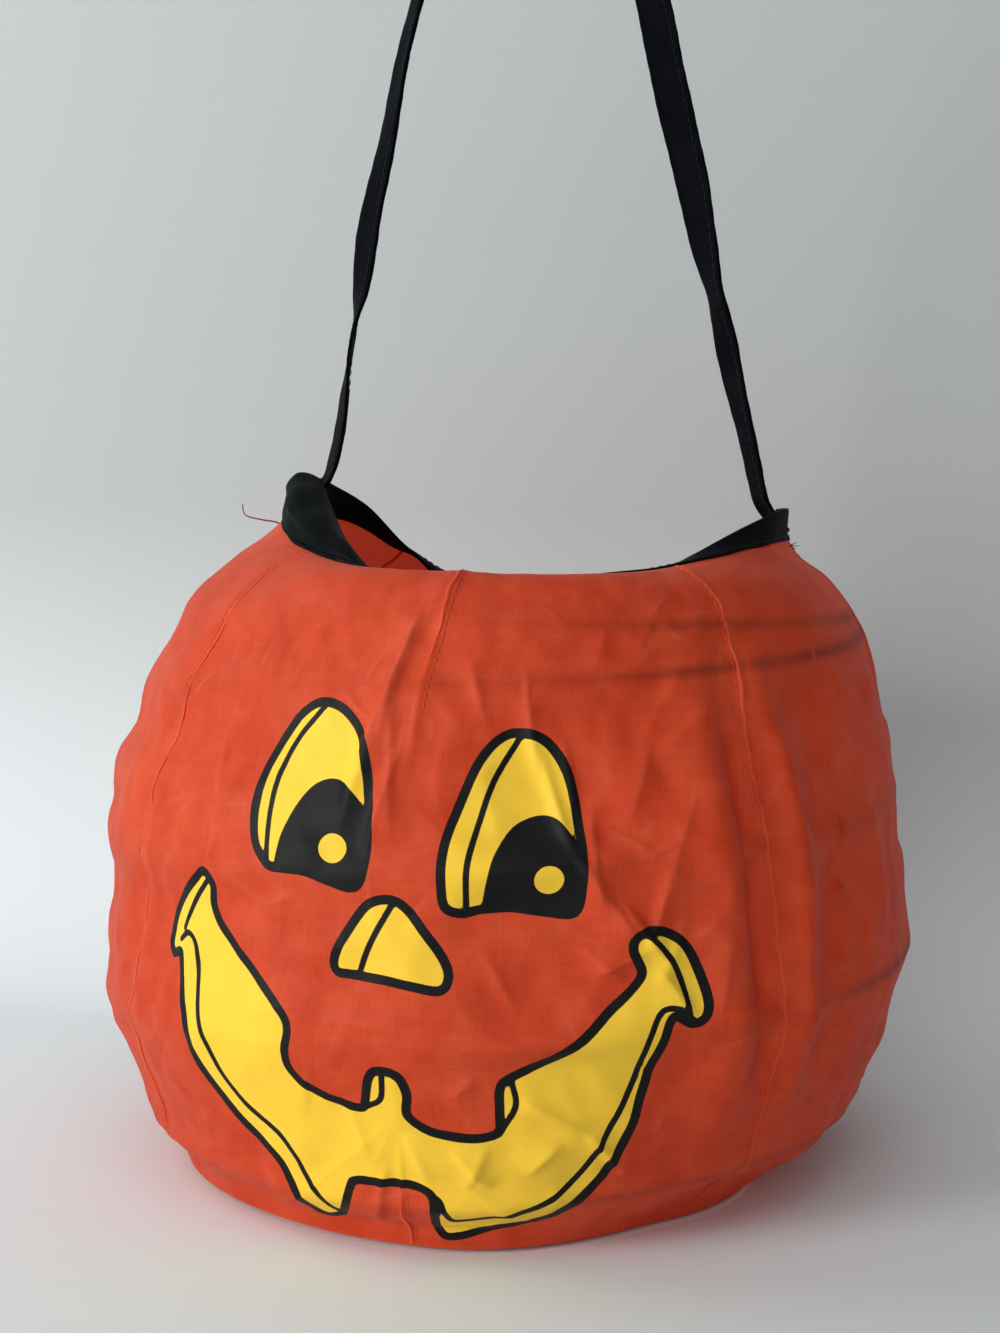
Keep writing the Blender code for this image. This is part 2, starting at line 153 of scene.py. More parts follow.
def window(x, low, high, soft):
    # 1 between low and high, falling to 0 over soft on both sides by s^2 (3 - 2s)
    a = np.clip((x - low) / soft + 0.5, 0, 1)
    b = np.clip((high - x) / soft + 0.5, 0, 1)
    return (a * a * (3 - 2 * a)) * (b * b * (3 - 2 * b))


def gridFaces(rows, columns, closeRows=False, closeColumns=False):
    # faces (i, j), (i, j + 1), (i + 1, j + 1), (i + 1, j) of a grid, closed ways by the remainder
    i = np.arange(rows if closeRows else rows - 1)[:, None]
    j = np.arange(columns if closeColumns else columns - 1)[None, :]
    iNext = (i + 1) % rows
    jNext = (j + 1) % columns
    corners = [i * columns + j, i * columns + jNext, iNext * columns + jNext, iNext * columns + j]
    return np.stack(corners, axis=-1).reshape(-1, 4)


def capFaces(rows, columns):
    # end faces of a tube whose rows are closed rings
    return [list(range(columns))[::-1], list(range((rows - 1) * columns, rows * columns))]


def flatMap(across, along):
    # a ringed piece's own map in metres: (distance round its ring, distance along it)
    return np.stack(np.broadcast_arrays(across[None], along[:, None]), axis=-1)


def makePiece(name, points, faces, material, caps=(), uv=None, values=None):
    # a smooth mesh with its material, its own map and its values at each point
    mesh = bpy.data.meshes.new(name)
    listed = np.asarray(faces).tolist() + [list(face) for face in caps]
    mesh.from_pydata(np.asarray(points, float).reshape(-1, 3).tolist(), [], listed)
    mesh.polygons.foreach_set("use_smooth", np.ones(len(mesh.polygons), bool))
    if uv is not None:
        loops = np.zeros(len(mesh.loops), np.int32)
        mesh.loops.foreach_get("vertex_index", loops)
        layer = mesh.uv_layers.new(name="clothMap")
        layer.data.foreach_set("uv", np.asarray(uv, np.float32).reshape(-1, 2)[loops].ravel())
    for label, value in (values or {}).items():
        attribute = mesh.attributes.new(label, "FLOAT", "POINT")
        attribute.data.foreach_set("value", np.asarray(value, np.float32).ravel())
    mesh.update()
    mesh.materials.append(material)
    return addObject(name, mesh)


def joinParts(parts):
    # several (points, faces) made one: the face numbers move on by the points before them
    starts = np.cumsum([0] + [len(points) for points, _ in parts])
    faces = [part[1] + start for part, start in zip(parts, starts)]
    return np.vstack([points for points, _ in parts]), np.vstack(faces)


def sweep(path, side, lift, profile):
    # profile points (across, out) carried along a path: path + across times side + out times lift
    return path[:, None] + profile[..., :1] * side[:, None] + profile[..., 1:] * lift[:, None]


def ringProfile(radius, sides):
    # radius (cos a, sin a)
    a = np.arange(sides) * tau / sides
    return np.stack([radius * np.cos(a), radius * np.sin(a)], axis=1)


def blurMatrix(count, spread, closed):
    # weights exp(-(apart / spread)^2 / 2) of a blur, each row adding up to 1
    i = np.arange(count)
    apart = np.abs(i[:, None] - i[None])
    if closed:
        apart = np.minimum(apart, count - apart)
    weights = np.exp(-0.5 * (apart / spread) ** 2)
    return weights / weights.sum(axis=1, keepdims=True)


# The wall of the basket: the same outline as the CAD wall, drawn on a grid of angle and height
wall = {
    "bodyRadius": 0.125,
    "baseRadius": 0.0906,
    "baseEdge": 0.0009,
    "ringRadius": 0.101,
    "ringHeight": 0.1715,
    "shoulderRise": 0.0125,
    "frontRimRise": 0.004,
    "peakRise": 0.034,
    "mouthHalfX": 0.075,
    "mouthHalfY": 0.074,
    "peakSharpness": 2.5,
    # knots of the outline, as shares of the ring's height and of the body's radius
    "heights": (0.058, 0.146, 0.262, 0.396, 0.536, 0.665, 0.793, 0.898),
    "radii": (0.832, 0.920, 0.972, 1.0, 0.996, 0.980, 0.940, 0.884),
    # and above the ring, as shares of the way in to the mouth and up to the rim
    "frontShoulder": ((0.24, 0.72), (0.52, 1.0), (0.78, 0.80)),
    "sideShoulder": ((0.36, 0.35), (0.72, 0.54), (0.95, 0.765)),
    "columns": 960,
    "rows": 400,
    "samples": 2000,
    "blur": (3.6, 2.6),
    # how this one basket's soft shape departs from the even one, in mm every 45 degrees from the left side
    "ownHeights": (0, 0.010, 0.025, 0.047, 0.064, 0.090, 0.106, 0.122, 0.139, 0.156, 0.172, 0.185, 0.205),
    "ownOut": ((8, 11, 12, -2, -8.5, -5, 0, 2), (3, 4, 5, -4.5, -8, -4, 0, 0),
               (1.9, 2.9, 2.5, -2.5, -4, -2, 0, 0), (3, 3, 1, -1, -0.5, 0, 0, 0),
               (1.5, 1.2, 0, 0, 0, 0, 0, 0), (-0.7, -0.5, 0, 0, -0.8, 0, 0, 0),
               (2.4, 1.8, 0, 0, -2.5, -1, 0, 0), (3.8, 2.8, 0, 0, -2, -1, 0, 0),
               (0, 0, 0, 0, 0, 0, 0, 0), (3, 2, 0, 0, 0, 0, 0, 0), (6, 3.5, 0, 0, -1.2, 0, 0, 1),
               (2, 1, 0, 0, -1.5, 0, 0, 0), (0, 0, 0, 0, 0, 0, 0, 0)),
    "rimLift": (0.003, 0, 0, 0, -0.003, -0.012, -0.012, 0.002),
    "rimOut": (0.002, 0, 0, 0, 0.002, 0, 0, 0),
    "shoulderShare": (1, 1, 1, 1, 0.80, 0.20, 0.10, 0.42),
    # and of the rim alone, every 15 degrees
    "rimRise": (0.001,) + (0,) * 18 + (-0.003, -0.003, 0.001, 0.0036, 0.0022),
    "leanHeights": (0, 0.05, 0.12, 0.15, 0.172, 0.2, 0.5),
    "lean": (0, 0, 0, 0.002, 0.005, 0.007, 0.007),
    # twist of the cloth on the wire in degrees: at -90 everywhere, at -135 and -45 by height
    "twistReach": 45,
    "frontTwist": -3.0,
    "leftTwistHeights": (0, 0.040, 0.073, 0.093, 0.150),
    "leftTwist": (-7.0, -6.0, -3.0, -0.5, 0.5),
    "seamTwistHeights": (0, 0.022, 0.074, 0.148, 0.178, 0.190),
    "seamTwist": (2.0, 4.0, 2.0, -2.0, -3.0, -6.0),
}
spiral = {
    "radius": 0.0008,
    "pitch": 0.047,
    "low": 0.014,
    "startAngle": math.radians(-30),
    "flatLow": math.radians(300),
    "turning": math.radians(1770),
    "turns": 5,
    "cornerLift": 0.0007,
    "cornerTop": 0.17,
    "sag": 0.0003,
    "inside": 0.0020,
    "topInside": 0.0012,
    "topFrom": 0.169,
    "endIn": 0.0032,
    "endReach": 0.008,
    "steps": 1180,
    "sides": 10,
}
riseTurning = (wall["ringHeight"] - spiral["low"]) / spiral["pitch"] * tau
columnAngle = -math.pi + np.arange(wall["columns"]) * tau / wall["columns"]
rowShare = np.linspace(0, 1, wall["rows"])


def columnAt(degrees):
    # number of the grid's column at an angle
    return int(round((math.radians(degrees) + math.pi) / tau * wall["columns"]))


def wireHeight(turned):
    # flat for the first turn, rising evenly by one pitch a turn, then flat again at the top
    rise = np.clip(turned - spiral["flatLow"], 0, riseTurning)
    return spiral["low"] + rise / tau * spiral["pitch"]


def wireCrossings(angle):
    # heights at which the wire touches the wall at each angle, from the base edge to the top ring
    first = np.mod(angle - spiral["startAngle"], tau)
    turned = first[:, None] + tau * np.arange(spiral["turns"])
    heights = np.where(turned <= spiral["turning"], wireHeight(turned), wall["ringHeight"])
    low = np.full((len(angle), 1), wall["baseEdge"])
    high = np.full((len(angle), 1), wall["ringHeight"])
    return np.concatenate([low, heights, high], axis=1)


def wallKnots(angle):
    # radius and height of the wall's knots at each angle, from the base edge over the shoulder to the rim:
    # above the ring, front value (1 - side) + side value side, with side = |cos angle|^sharpness
    side = np.abs(np.cos(angle)) ** wall["peakSharpness"]
    mouth = 1 / np.hypot(np.cos(angle) / wall["mouthHalfX"], np.sin(angle) / wall["mouthHalfY"])
    mouth = mouth + roundTable(angle, wall["rimOut"])
    peak = wall["peakRise"] + roundTable(angle, wall["rimLift"])
    shoulder = wall["shoulderRise"] * roundTable(angle, wall["shoulderShare"])
    own = roundTable(angle, wall["rimRise"])
    one = np.ones_like(angle)
    knots = [(wall["baseRadius"] * one, wall["baseEdge"] * one)]
    for z, r in zip(wall["heights"], wall["radii"]):
        knots.append((r * wall["bodyRadius"] * one, z * wall["ringHeight"] * one))
    knots.append((wall["ringRadius"] * one, wall["ringHeight"] * one))
    for (frontIn, frontUp), (sideIn, sideUp) in zip(wall["frontShoulder"], wall["sideShoulder"]):
        inward = frontIn + (sideIn - frontIn) * side
        rise = frontUp * shoulder * (1 - side) + sideUp * peak * side + sideUp * own
        knots.append((wall["ringRadius"] + (mouth - wall["ringRadius"]) * inward, wall["ringHeight"] + rise))
    rise = (wall["frontRimRise"] - wall["shoulderRise"] + shoulder) * (1 - side) + peak * side + own
    knots.append((mouth, wall["ringHeight"] + rise))
    return np.array(knots)


def ownOut(angle, height):
    # how far this basket's own shape stands out from the even one
    easing = lambda d: 0.5 + 0.5 * np.cos(np.pi * d)
    return heightTable(angle, height, wall["ownHeights"], wall["ownOut"], easing) * mm


def drawnWall():
    # radius and height on the grid. From turn to turn of the wire the cloth is drawn almost straight:
    # rLow + (rHigh - rLow) t - sag (span / pitch)^2 sin^2(pi t)
    knots = wallKnots(columnAngle)
    marks = np.linspace(0, len(knots) - 1, wall["samples"])
    even = smoothThrough(knots[:, :, 0], marks)
    travelled = alongPath(even)
    atKnot = np.interp(rowShare * travelled[-1], travelled, marks)
    grid = smoothThrough(knots, atKnot)
    radius, height = grid[:, 0].T.copy(), grid[:, 1].T.copy()
    ringKnot = len(wall["heights"]) + 1
    lower = (even[:, 1] <= wall["ringHeight"] + 1e-9) & (marks <= ringKnot)
    crossings = wireCrossings(columnAngle)
    chord = radius.copy()
    for k in range(crossings.shape[1] - 1):
        low, high = crossings[:, k : k + 1], crossings[:, k + 1 : k + 2]
        span = np.maximum(high - low, 1e-6)
        t = (height - low) / span
        rLow, rHigh = (np.interp(z, even[lower, 1], even[lower, 0]) for z in (low, high))
        rLow = rLow + spiral["cornerLift"] * (low > wall["baseEdge"])
        rHigh = rHigh + spiral["cornerLift"] * (high < spiral["cornerTop"])
        sag = spiral["sag"] * (span / spiral["pitch"]) ** 2 * np.sin(np.pi * np.clip(t, 0, 1)) ** 2
        inside = (t >= 0) & (t < 1) & (atKnot <= ringKnot)[None]
        chord = np.where(inside, rLow + (rHigh - rLow) * t - sag, chord)
    byColumn, byRow = wall["blur"]
    radius = blurMatrix(wall["columns"], byColumn, True) @ chord @ blurMatrix(wall["rows"], byRow, False).T
    return radius + ownOut(columnAngle[:, None], height), height


def twistOf(angle, height):
    # how far the cloth has slipped round the wire: 0.5 + 0.5 cos(pi off / reach) about three places
    def near(centre):
        off = np.abs((np.degrees(angle) - centre + 180) % 360 - 180)
        return np.where(off < wall["twistReach"], 0.5 + 0.5 * np.cos(np.pi * off / wall["twistReach"]), 0.0)

    bySeam = np.interp(height, wall["seamTwistHeights"], wall["seamTwist"])
    byLeft = np.interp(height, wall["leftTwistHeights"], wall["leftTwist"])
    return np.radians(wall["frontTwist"] * near(-90) + byLeft * near(-135) + bySeam * near(-45))


def sampleGrid(field, angle, share):
    # bilinear value of a grid field at any angles and shares of the wall's length
    n = wall["columns"]
    at = (np.asarray(angle) + math.pi) / tau * n
    up = np.clip(np.asarray(share), 0, 1) * (wall["rows"] - 1)
    i = np.floor(at).astype(int)
    j = np.clip(np.floor(up).astype(int), 0, wall["rows"] - 2)
    s, t = at - i, up - j
    if field.ndim == 3:
        s, t = s[..., None], t[..., None]
    low = field[i % n, j] * (1 - s) + field[(i + 1) % n, j] * s
    high = field[i % n, j + 1] * (1 - s) + field[(i + 1) % n, j + 1] * s
    return low * (1 - t) + high * t


def leanAt(height):
    # how far the body leans to the right at a height
    return np.interp(height, wall["leanHeights"], wall["lean"])


def gridNormals(points):
    # outward directions of a closed grid: cross product of the ways across and up
    across = np.roll(points, -1, axis=0) - np.roll(points, 1, axis=0)
    return unit(np.cross(across, np.gradient(points, axis=1)))


plainRadius, plainHeight = drawnWall()
clothAngle = columnAngle[:, None] + twistOf(columnAngle[:, None], plainHeight)
clothRadius = sampleGrid(plainRadius, clothAngle, rowShare[None])
clothHeight = sampleGrid(plainHeight, clothAngle, rowShare[None])
smoothPoints = np.stack([clothRadius * np.cos(clothAngle) + leanAt(clothHeight),
                         clothRadius * np.sin(clothAngle), clothHeight], axis=-1)
smoothNormals = gridNormals(smoothPoints)
steps = np.linalg.norm(np.diff(smoothPoints, axis=1), axis=2)
clothAlong = np.pad(np.cumsum(steps, axis=1), ((0, 0), (1, 0)))
frontColumn = columnAt(-90)
print("wall drawn: length from base to rim %.4f m at the front, %.4f m at the side"
      % (clothAlong[frontColumn, -1], clothAlong[0, -1]))

# Folds in the cloth: how far each point stands out from the drawn wall
folds = {
    "seed": 7,
    # seeded unevenness: height, number of waves, shortest and longest wave
    "waves": (0.00045, 14, 0.02, 0.06),
    "ripples": (0.00012, 14, 0.008, 0.02),
    "crumple": (0.00100, 9, 0.014, 0.036),
    "seamDip": (0.0010, 0.006),
    "seamCrest": (0.0005, 0.0010),
    # puckers on each side of a seam: wave length, then how far and over what length they wander
    "pucker": 0.00022,
    "puckerRight": (0.0095, 2.5, 0.013),
    "puckerLeft": (0.012065, 2.1, 0.017),
    "puckerReach": 0.009,
    "seamClear": 0.0016,
    # at the tucks, top and bottom: crest height and width, then the dip's share, offset and width
    "tuckTop": (0.0009, 0.0016, 0.5, 0.005, 0.004),
    "tuckLow": (0.0010, 0.0014, 0.6, 0.0, 0.005),
    "tuckReach": (0.072, 0.034),
    "fan": (-2.0, -0.9, 0.7, 1.8),
    "fanStand": 0.0004,
    "fanWidth": 0.0022,
    "fanTop": 0.045,
    "creaseScale": 2.35,
    # how the soft bands stray: sines of the length, or a lean by height or by length about one place
    "meander": (0.0015, 0.016),
    "drift": (0.002, 0.021, 300),
    "back": (-0.08, 0.09),
    "onward": (0.1, 0.1),
    # the fold near the base: its stand, height and width, and the wave of its line
    "hem": (0.0006, 0.0085, 0.0028),
    "hemWave": (0.0012, 0.013),
    "aboveRing": 0.35,
    "wireReach": 0.0055,
    "half": 0.105,
}
seamAngles = {"front_right": -45.0, "front_left": -135.0, "back_right": 45.0, "back_left": 135.0}
panelAngles = {"front": -90.0, "right": 0.0, "back": 90.0, "left": 180.0}

# Bands beside the seams and a hollow over the right eye, after the photograph: the angle they follow,
# distance beside it, half width, stand, lowest and highest place and softness in mm, and how they stray
softBands = (
    (-45, 8, 6.2, 5.2, 45, 150, 50, "meander"), (-45, -6, 4.5, -5.4, 55, 140, 50, "none"),
    (-45, -14.5, 10, 4.6, 35, 150, 50, "none"), (-90, 34, 19, -4, 50, 150, 50, "none"),
    (-45, 28, 10, -3, 45, 150, 50, "meander"), (-45, 30, 5, 1, 30, 150, 40, "drift"),
    (-45, 43, 5, -1, 60, 150, 40, "drift"), (-45, 56, 5, 0.8, 20, 120, 40, "drift"),
    (-45, 68, 5, 0.6, 50, 150, 40, "drift"), (-135, 4, 4, 1.6, 45, 150, 40, "back"),
    (-135, -6, 6, -1.4, 50, 140, 50, "none"), (-115, 0, 6, 0.6, 30, 150, 50, "onward"),
    (-25, 0, 6, 0.6, 30, 150, 50, "onward"), (65, 0, 6, 0.6, 30, 150, 50, "onward"),
    (155, 0, 6, 0.6, 30, 150, 50, "onward"),
)

# Creases on the front panel: start and end as across, along in mm, height, and width on each side
frontCreases = (
    (0, 240, -4, 180, 1, 11, 9), (-3, 196, -10, 140, 1.2, 11, 8), (-9, 152, -17, 122, 1, 6, 5),
    (-6, 185, -9, 150, 1, 1.2, 5), (-9, 160, -17, 128, 0.8, 2.5, 1.5), (-7, 158, -3, 120, 0.7, 1.5, 4),
    (-12, 150, -24, 160, 0.5, 1.5, 2), (-2, 150, -10, 112, 0.6, 3, 1.2), (10, 170, 18, 152, 0.6, 3, 1.5),
    (25, 168, 33, 140, 0.8, 4, 1.6), (33, 145, 47, 112, 1, 2.5, 1.5), (38, 150, 44, 130, 0.7, 1.5, 4),
    (47, 134, 50, 104, 0.8, 1.5, 3), (52, 128, 64, 122, 0.22, 0.5, 0.8), (62, 122, 68, 126, 0.22, 0.5, 0.8),
    (54, 110, 66, 92, 0.9, 0.9, 4.5), (67, 120, 60, 96, 0.8, 4, 1), (60, 97, 47, 88, 0.7, 1.2, 3.5),
    (49, 114, 58, 98, 0.7, 1, 4.5), (62, 93, 71, 80, 0.7, 1, 4), (44, 122, 52, 106, 0.6, 1, 5),
    (70, 108, 62, 86, 0.5, 5, 1.2), (44, 96, 56, 86, 0.5, 2.5, 1.2), (56, 60, 74, 58, 0.2, 0.5, 0.8),
    (22, 92, 30, 76, 0.5, 3, 1.2), (30, 52, 44, 44, 0.8, 1.5, 3), (44, 44, 52, 30, 0.7, 2.5, 1.2),
    (38, 40, 30, 30, 0.7, 1.2, 3), (14, 36, 22, 26, 0.7, 3, 1.2), (22, 38, 16, 24, 0.6, 1.2, 2.5),
    (2, 40, 8, 26, 0.5, 3, 1.2), (-14, 48, -8, 30, 0.5, 3, 1.5), (14, 52, 20, 58, 0.5, 1.2, 2),
    (-58, 110, -42, 100, 0.35, 1.2, 2.5), (-42, 100, -30, 104, 0.35, 1.2, 2), (-66, 150, -60, 120, 0.5, 4, 2),
    (-70, 84, -66, 60, 0.5, 4, 2), (-20, 72, 6, 70, 0.35, 3, 3), (-4, 30, -8, 8, 0.9, 1.5, 3.5),
    (-40, 20, -30, 8, 0.5, 3, 2), (60, 22, 52, 8, 0.6, 3, 2), (66, 112, 72, 140, 0.7, 8, 3),
    (76, 78, 80, 104, 0.8, 9, 3.5), (56, 128, 60, 152, 0.6, 7, 3),
)

# Short creases of crumpled cloth all over: half length, height, sharp side and soft side in mm
scatter = {
    "count": 300,
    "reach": 42,
    "rows": (20, int(0.84 * wall["rows"])),
    "half": (3.0, 11.0),
    "size": (0.10, 0.45),
    "sharp": (0.5, 1.3),
    "soft": (1.8, 4.5),
    # width of the painted highlight line along each crest, then its strength
    "line": 0.35,
    "highlightShare": 2.2,
}


def acrossFrom(degrees):
    # distance across the cloth from one angle: (angle - centre) radius
    off = (columnAngle - math.radians(degrees) + math.pi) % tau - math.pi
    return off[:, None] * clothRadius


def creaseHeight(across, along, ends, height, wideLeft, wideRight):
    # a straight fold: height exp(-(sqrt(off^2 + tip^2) - tip) / wide), fading towards both ends
    start, end = np.array(ends[:2]) * mm, np.array(ends[2:]) * mm
    length = np.hypot(*(end - start))
    way = (end - start) / length
    t = ((across - start[0]) * way[0] + (along - start[1]) * way[1]) / length
    off = (across - start[0]) * way[1] - (along - start[1]) * way[0]
    wide = np.where(off > 0, wideRight, wideLeft) * mm
    tip = 0.35 * mm
    crest = np.exp(-(np.sqrt(off**2 + tip**2) - tip) / wide)
    fade = np.clip(1 - (2 * t - 1) ** 2 * 0.8, 0, 1) * window(t, -0.05, 1.05, 0.5)
    return height * mm * crest * fade


def softWaves(across, along, count, shortest, longest, seed):
    # sum of sin(tau (across cos way + along sin way) / length + shift) over seeded waves, by sqrt(count)
    pick = np.random.default_rng(seed)
    total = np.zeros_like(across)
    for _ in range(count):
        length = pick.uniform(shortest, longest)
        way = pick.uniform(0, math.pi)
        shift = pick.uniform(0, tau)
        total += np.sin((across * math.cos(way) + along * math.sin(way)) * tau / length + shift)
    return total / math.sqrt(count)


def sharpFolds(across, along, count, shortest, longest, seed):
    # crumpled cloth: bent waves with their tops folded sharp, 0.64 - |sin phase|, each in its own patches
    pick = np.random.default_rng(seed)
    total = np.zeros_like(across)
    for _ in range(count):
        length = pick.uniform(shortest, longest)
        way = pick.normal(math.pi * 0.25, 0.9)
        bend = softWaves(across, along, 3, 0.03, 0.08, int(pick.integers(1e6)))
        patch = softWaves(across, along, 4, 0.03, 0.07, int(pick.integers(1e6)))
        phase = (across * math.cos(way) + along * math.sin(way)) * math.pi / length + bend * 1.2
        total += (0.64 - np.abs(np.sin(phase))) * np.clip(patch, 0, 1.5)
    return total / math.sqrt(count)


def wireNear(width):
    # a bell round each height at which a turn of the wire passes, at every point of the cloth
    total = np.zeros_like(clothHeight)
    for heights in wireCrossings(columnAngle)[:, 1:].T:
        here = np.interp(np.mod(clothAngle + math.pi, tau), np.r_[columnAngle + math.pi, tau],
                         np.r_[heights, heights[0]])
        total = np.maximum(total, bell(clothHeight - here, width))
    return total


def seamFolds(number, angle):
    # the pull of a row of stitches: puckers on both sides, a broad dip and a narrow crest on the seam itself
    a = acrossFrom(angle)
    waves = []
    for key, start in (("puckerRight", number), ("puckerLeft", 0)):
        length, wander, over = folds[key]
        waves.append(np.sin(tau * clothAlong / length + wander * np.sin(clothAlong / over + start)))
    beside = crestShape(a, folds["puckerReach"]) * (1 - bell(a, folds["seamClear"]))
    puckers = np.where(a > 0, *waves) * beside
    dip, dipWidth = folds["seamDip"]
    crest, crestWidth = folds["seamCrest"]
    return folds["pucker"] * puckers - dip * bell(a, dipWidth) + crest * crestShape(a, crestWidth)


def tuckFolds(angle):
    # each tuck's crest with a dip beside it, and a fan of small folds that opens above the lower one
    a = acrossFrom(angle)
    stand = 0
    fromTop, fromBase = folds["tuckReach"]
    places = {"tuckTop": window(clothAlong, clothAlong[:, -1:] - fromTop, 1, 0.02),
              "tuckLow": 1 - window(clothAlong, fromBase, 1, 0.012)}
    for key, place in places.items():
        high, width, share, offset, dipWidth = folds[key]
        stand = stand + high * (crestShape(a, width) - share * bell(a + offset, dipWidth)) * place
    for spread in folds["fan"]:
        fan = crestShape(a - spread * (folds["fanTop"] - clothAlong) * 0.5, folds["fanWidth"])
        stand = stand + folds["fanStand"] * fan * window(clothAlong, 0.006, 0.040, 0.02)
    return stand


def foldField():
    # all folds added up, then held flat at the base edge and the rim and wherever the wire passes
    height = clothHeight
    around = columnAngle[:, None] * wall["bodyRadius"] + 0 * clothAlong
    stand = np.zeros_like(clothRadius)
    kinds = {"waves": softWaves, "ripples": softWaves, "crumple": sharpFolds}
    for number, (key, kind) in enumerate(kinds.items()):
        high, count, shortest, longest = folds[key]
        stand += high * kind(around, clothAlong, count, shortest, longest, folds["seed"] + number)
    for number, angle in enumerate(seamAngles.values()):
        stand += seamFolds(number, angle)
    for angle in panelAngles.values():
        stand += tuckFolds(angle)
    front = acrossFrom(-90)
    onFront = window(front, -folds["half"], folds["half"], 0.01)
    for *ends, high, left, right in frontCreases:
        stand += creaseHeight(front, clothAlong, ends, folds["creaseScale"] * high, left, right) * onFront
    swing, wave = folds["meander"]
    driftSwing, driftWave, driftShift = folds["drift"]
    strays = {"none": 0, "meander": swing * np.sin(clothAlong / wave)}
    for key, along in (("back", height), ("onward", clothAlong)):
        lean, about = folds[key]
        strays[key] = lean * (along - about)
    for angle, offset, width, high, low, top, soft, kind in softBands:
        strays["drift"] = driftSwing * np.sin(clothAlong / driftWave + offset * mm * driftShift)
        band = bell(acrossFrom(angle) - offset * mm - strays[kind], width * mm)
        stand += high * mm * band * window(height, low * mm, top * mm, soft * mm)
    # near the base the wall turns under along a soft fold
    hem = acrossFrom(-100)
    (high, at, width), (swing, wave) = folds["hem"], folds["hemWave"]
    fold = crestShape(clothAlong - at - swing * np.sin(hem / wave), width)
    stand += high * fold * window(hem, -0.060, 0.075, 0.04)
    below = 1 - window(height, wall["ringHeight"] + 0.004, 1, 0.02)
    rimFree = window(clothAlong, 0.004, clothAlong[:, -1:] - 0.013, 0.012)
    stand = (stand + scattered) * rimFree * (folds["aboveRing"] + (1 - folds["aboveRing"]) * below)
    return np.maximum(stand, stand * (1 - wireNear(folds["wireReach"])))


def scatterCreases():
    # each short crease on its own patch of the grid, and as a second field the painted highlight lines along
    # their crests
    pick = np.random.default_rng(folds["seed"] + 5)
    stand = np.zeros_like(clothRadius)
    crest = np.zeros_like(clothRadius)
    reach = scatter["reach"]
    for _ in range(scatter["count"]):
        column = int(pick.integers(wall["columns"]))
        row = int(pick.integers(*scatter["rows"]))
        columns = np.arange(column - reach, column + reach) % wall["columns"]
        rows = np.arange(max(0, row - reach), min(wall["rows"], row + reach))
        at = np.ix_(columns, rows)
        across = (np.arange(-reach, reach) * tau / wall["columns"])[:, None] * clothRadius[at]
        along = clothAlong[at] - clothAlong[column, row]
        way = pick.normal(0.9, 0.8) * (1 if pick.random() < 0.7 else -1)
        half = pick.uniform(*scatter["half"])
        x, y = half * math.cos(way), half * math.sin(way)
        size = pick.uniform(*scatter["size"]) * pick.choice((-1, 1), p=(0.35, 0.65))
        sharp, soft = pick.uniform(*scatter["sharp"]), pick.uniform(*scatter["soft"])
        sides = (sharp, soft) if pick.random() < 0.5 else (soft, sharp)
        line = creaseHeight(across, along, (-x, -y, x, y), 1.0, scatter["line"], scatter["line"]) / mm
        stand[at] += creaseHeight(across, along, (-x, -y, x, y), size, *sides)
        crest[at] = np.maximum(crest[at], line * abs(size) * scatter["highlightShare"])
    return stand, crest


def frontCrestHighlights():
    # painted highlight lines along the crests of the front panel's own creases, at most 1
    front = acrossFrom(-90)
    crest = np.zeros_like(clothRadius)
    near = np.abs(front) < folds["half"]
    for *ends, high, _, _ in frontCreases:
        line = creaseHeight(front[near], clothAlong[near], ends, 1.0, 0.3, 0.3) / mm
        crest[near] = np.maximum(crest[near], line * min(0.4 + high * 0.5, 1.0))
    return crest


scattered, scatteredHighlights = scatterCreases()
# painted highlight lines along every crease crest, at most 1
crestHighlights = np.clip(np.maximum(scatteredHighlights, frontCrestHighlights()), 0, 1)
clothStand = foldField()
clothPoints = smoothPoints + smoothNormals * clothStand[..., None]
clothNormals = gridNormals(clothPoints)
print("folds laid: they stand from %.1f to %.1f mm" % (clothStand.min() / mm, clothStand.max() / mm))

# How dark the painted shadow of the wire is on the cloth: a row for each height, in it a share every 45
# degrees from the left side
wireShadowTable = {
    "heights": (0.014, 0.035, 0.070, 0.117, 0.150, 0.1715),
    "strengths": ((0.06, 0.03, 0.2, 0.5, 0.5, 0.5, 0.5, 0.3),
                  (0.03, 0.02, 0.03, 0.1, 0.5, 0.5, 0.4, 0.2), (0.02, 0.01, 0, 0.2, 1.2, 0.6, 0.4, 0.2),
                  (0.02, 0.01, 0, 0, 0.1, 0.4, 0.4, 0.2), (0.03, 0, 0.08, 1.05, 1.05, 0.7, 0.5, 0.3),
                  (0.04, 0, 0.04, 0.65, 0.75, 0.6, 0.5, 0.3)),
    "width": 0.0016,
    "patches": 0.20,
}


def wireShadowPaint():
    # painted shadow of the wire: a dark line where it lies against the cloth, fuller where the cloth is drawn
    # tight on it
    heights, strengths = wireShadowTable["heights"], wireShadowTable["strengths"]
    fuller = heightTable(clothAngle, clothHeight, heights, strengths, lambda d: 1 - d)
    waves = softWaves(clothAngle * wall["bodyRadius"], clothHeight, 5, 0.02, 0.06, 31)
    patchy = 1 - wireShadowTable["patches"] + wireShadowTable["patches"] * waves
    below = 1 - window(clothHeight, wall["ringHeight"] + 0.003, 1, 0.004)
    return np.clip(wireNear(wireShadowTable["width"]) * fuller * patchy * below, 0, 1)


# the painted shadow of the wire on the cloth
wireShadowMask = wireShadowPaint()


def onCloth(angle, share, lift):
    # points on the folded cloth, lifted along its outward direction
    out = unit(sampleGrid(clothNormals, angle, share))
    return sampleGrid(clothPoints, angle, share) + out * np.asarray(lift)[..., None]


def shareFromRim(angle, distance):
    # share of the wall's length at a distance below the rim: 1 - distance / length
    return 1 - np.asarray(distance) / sampleGrid(clothAlong, angle, np.ones_like(np.asarray(angle, float)))


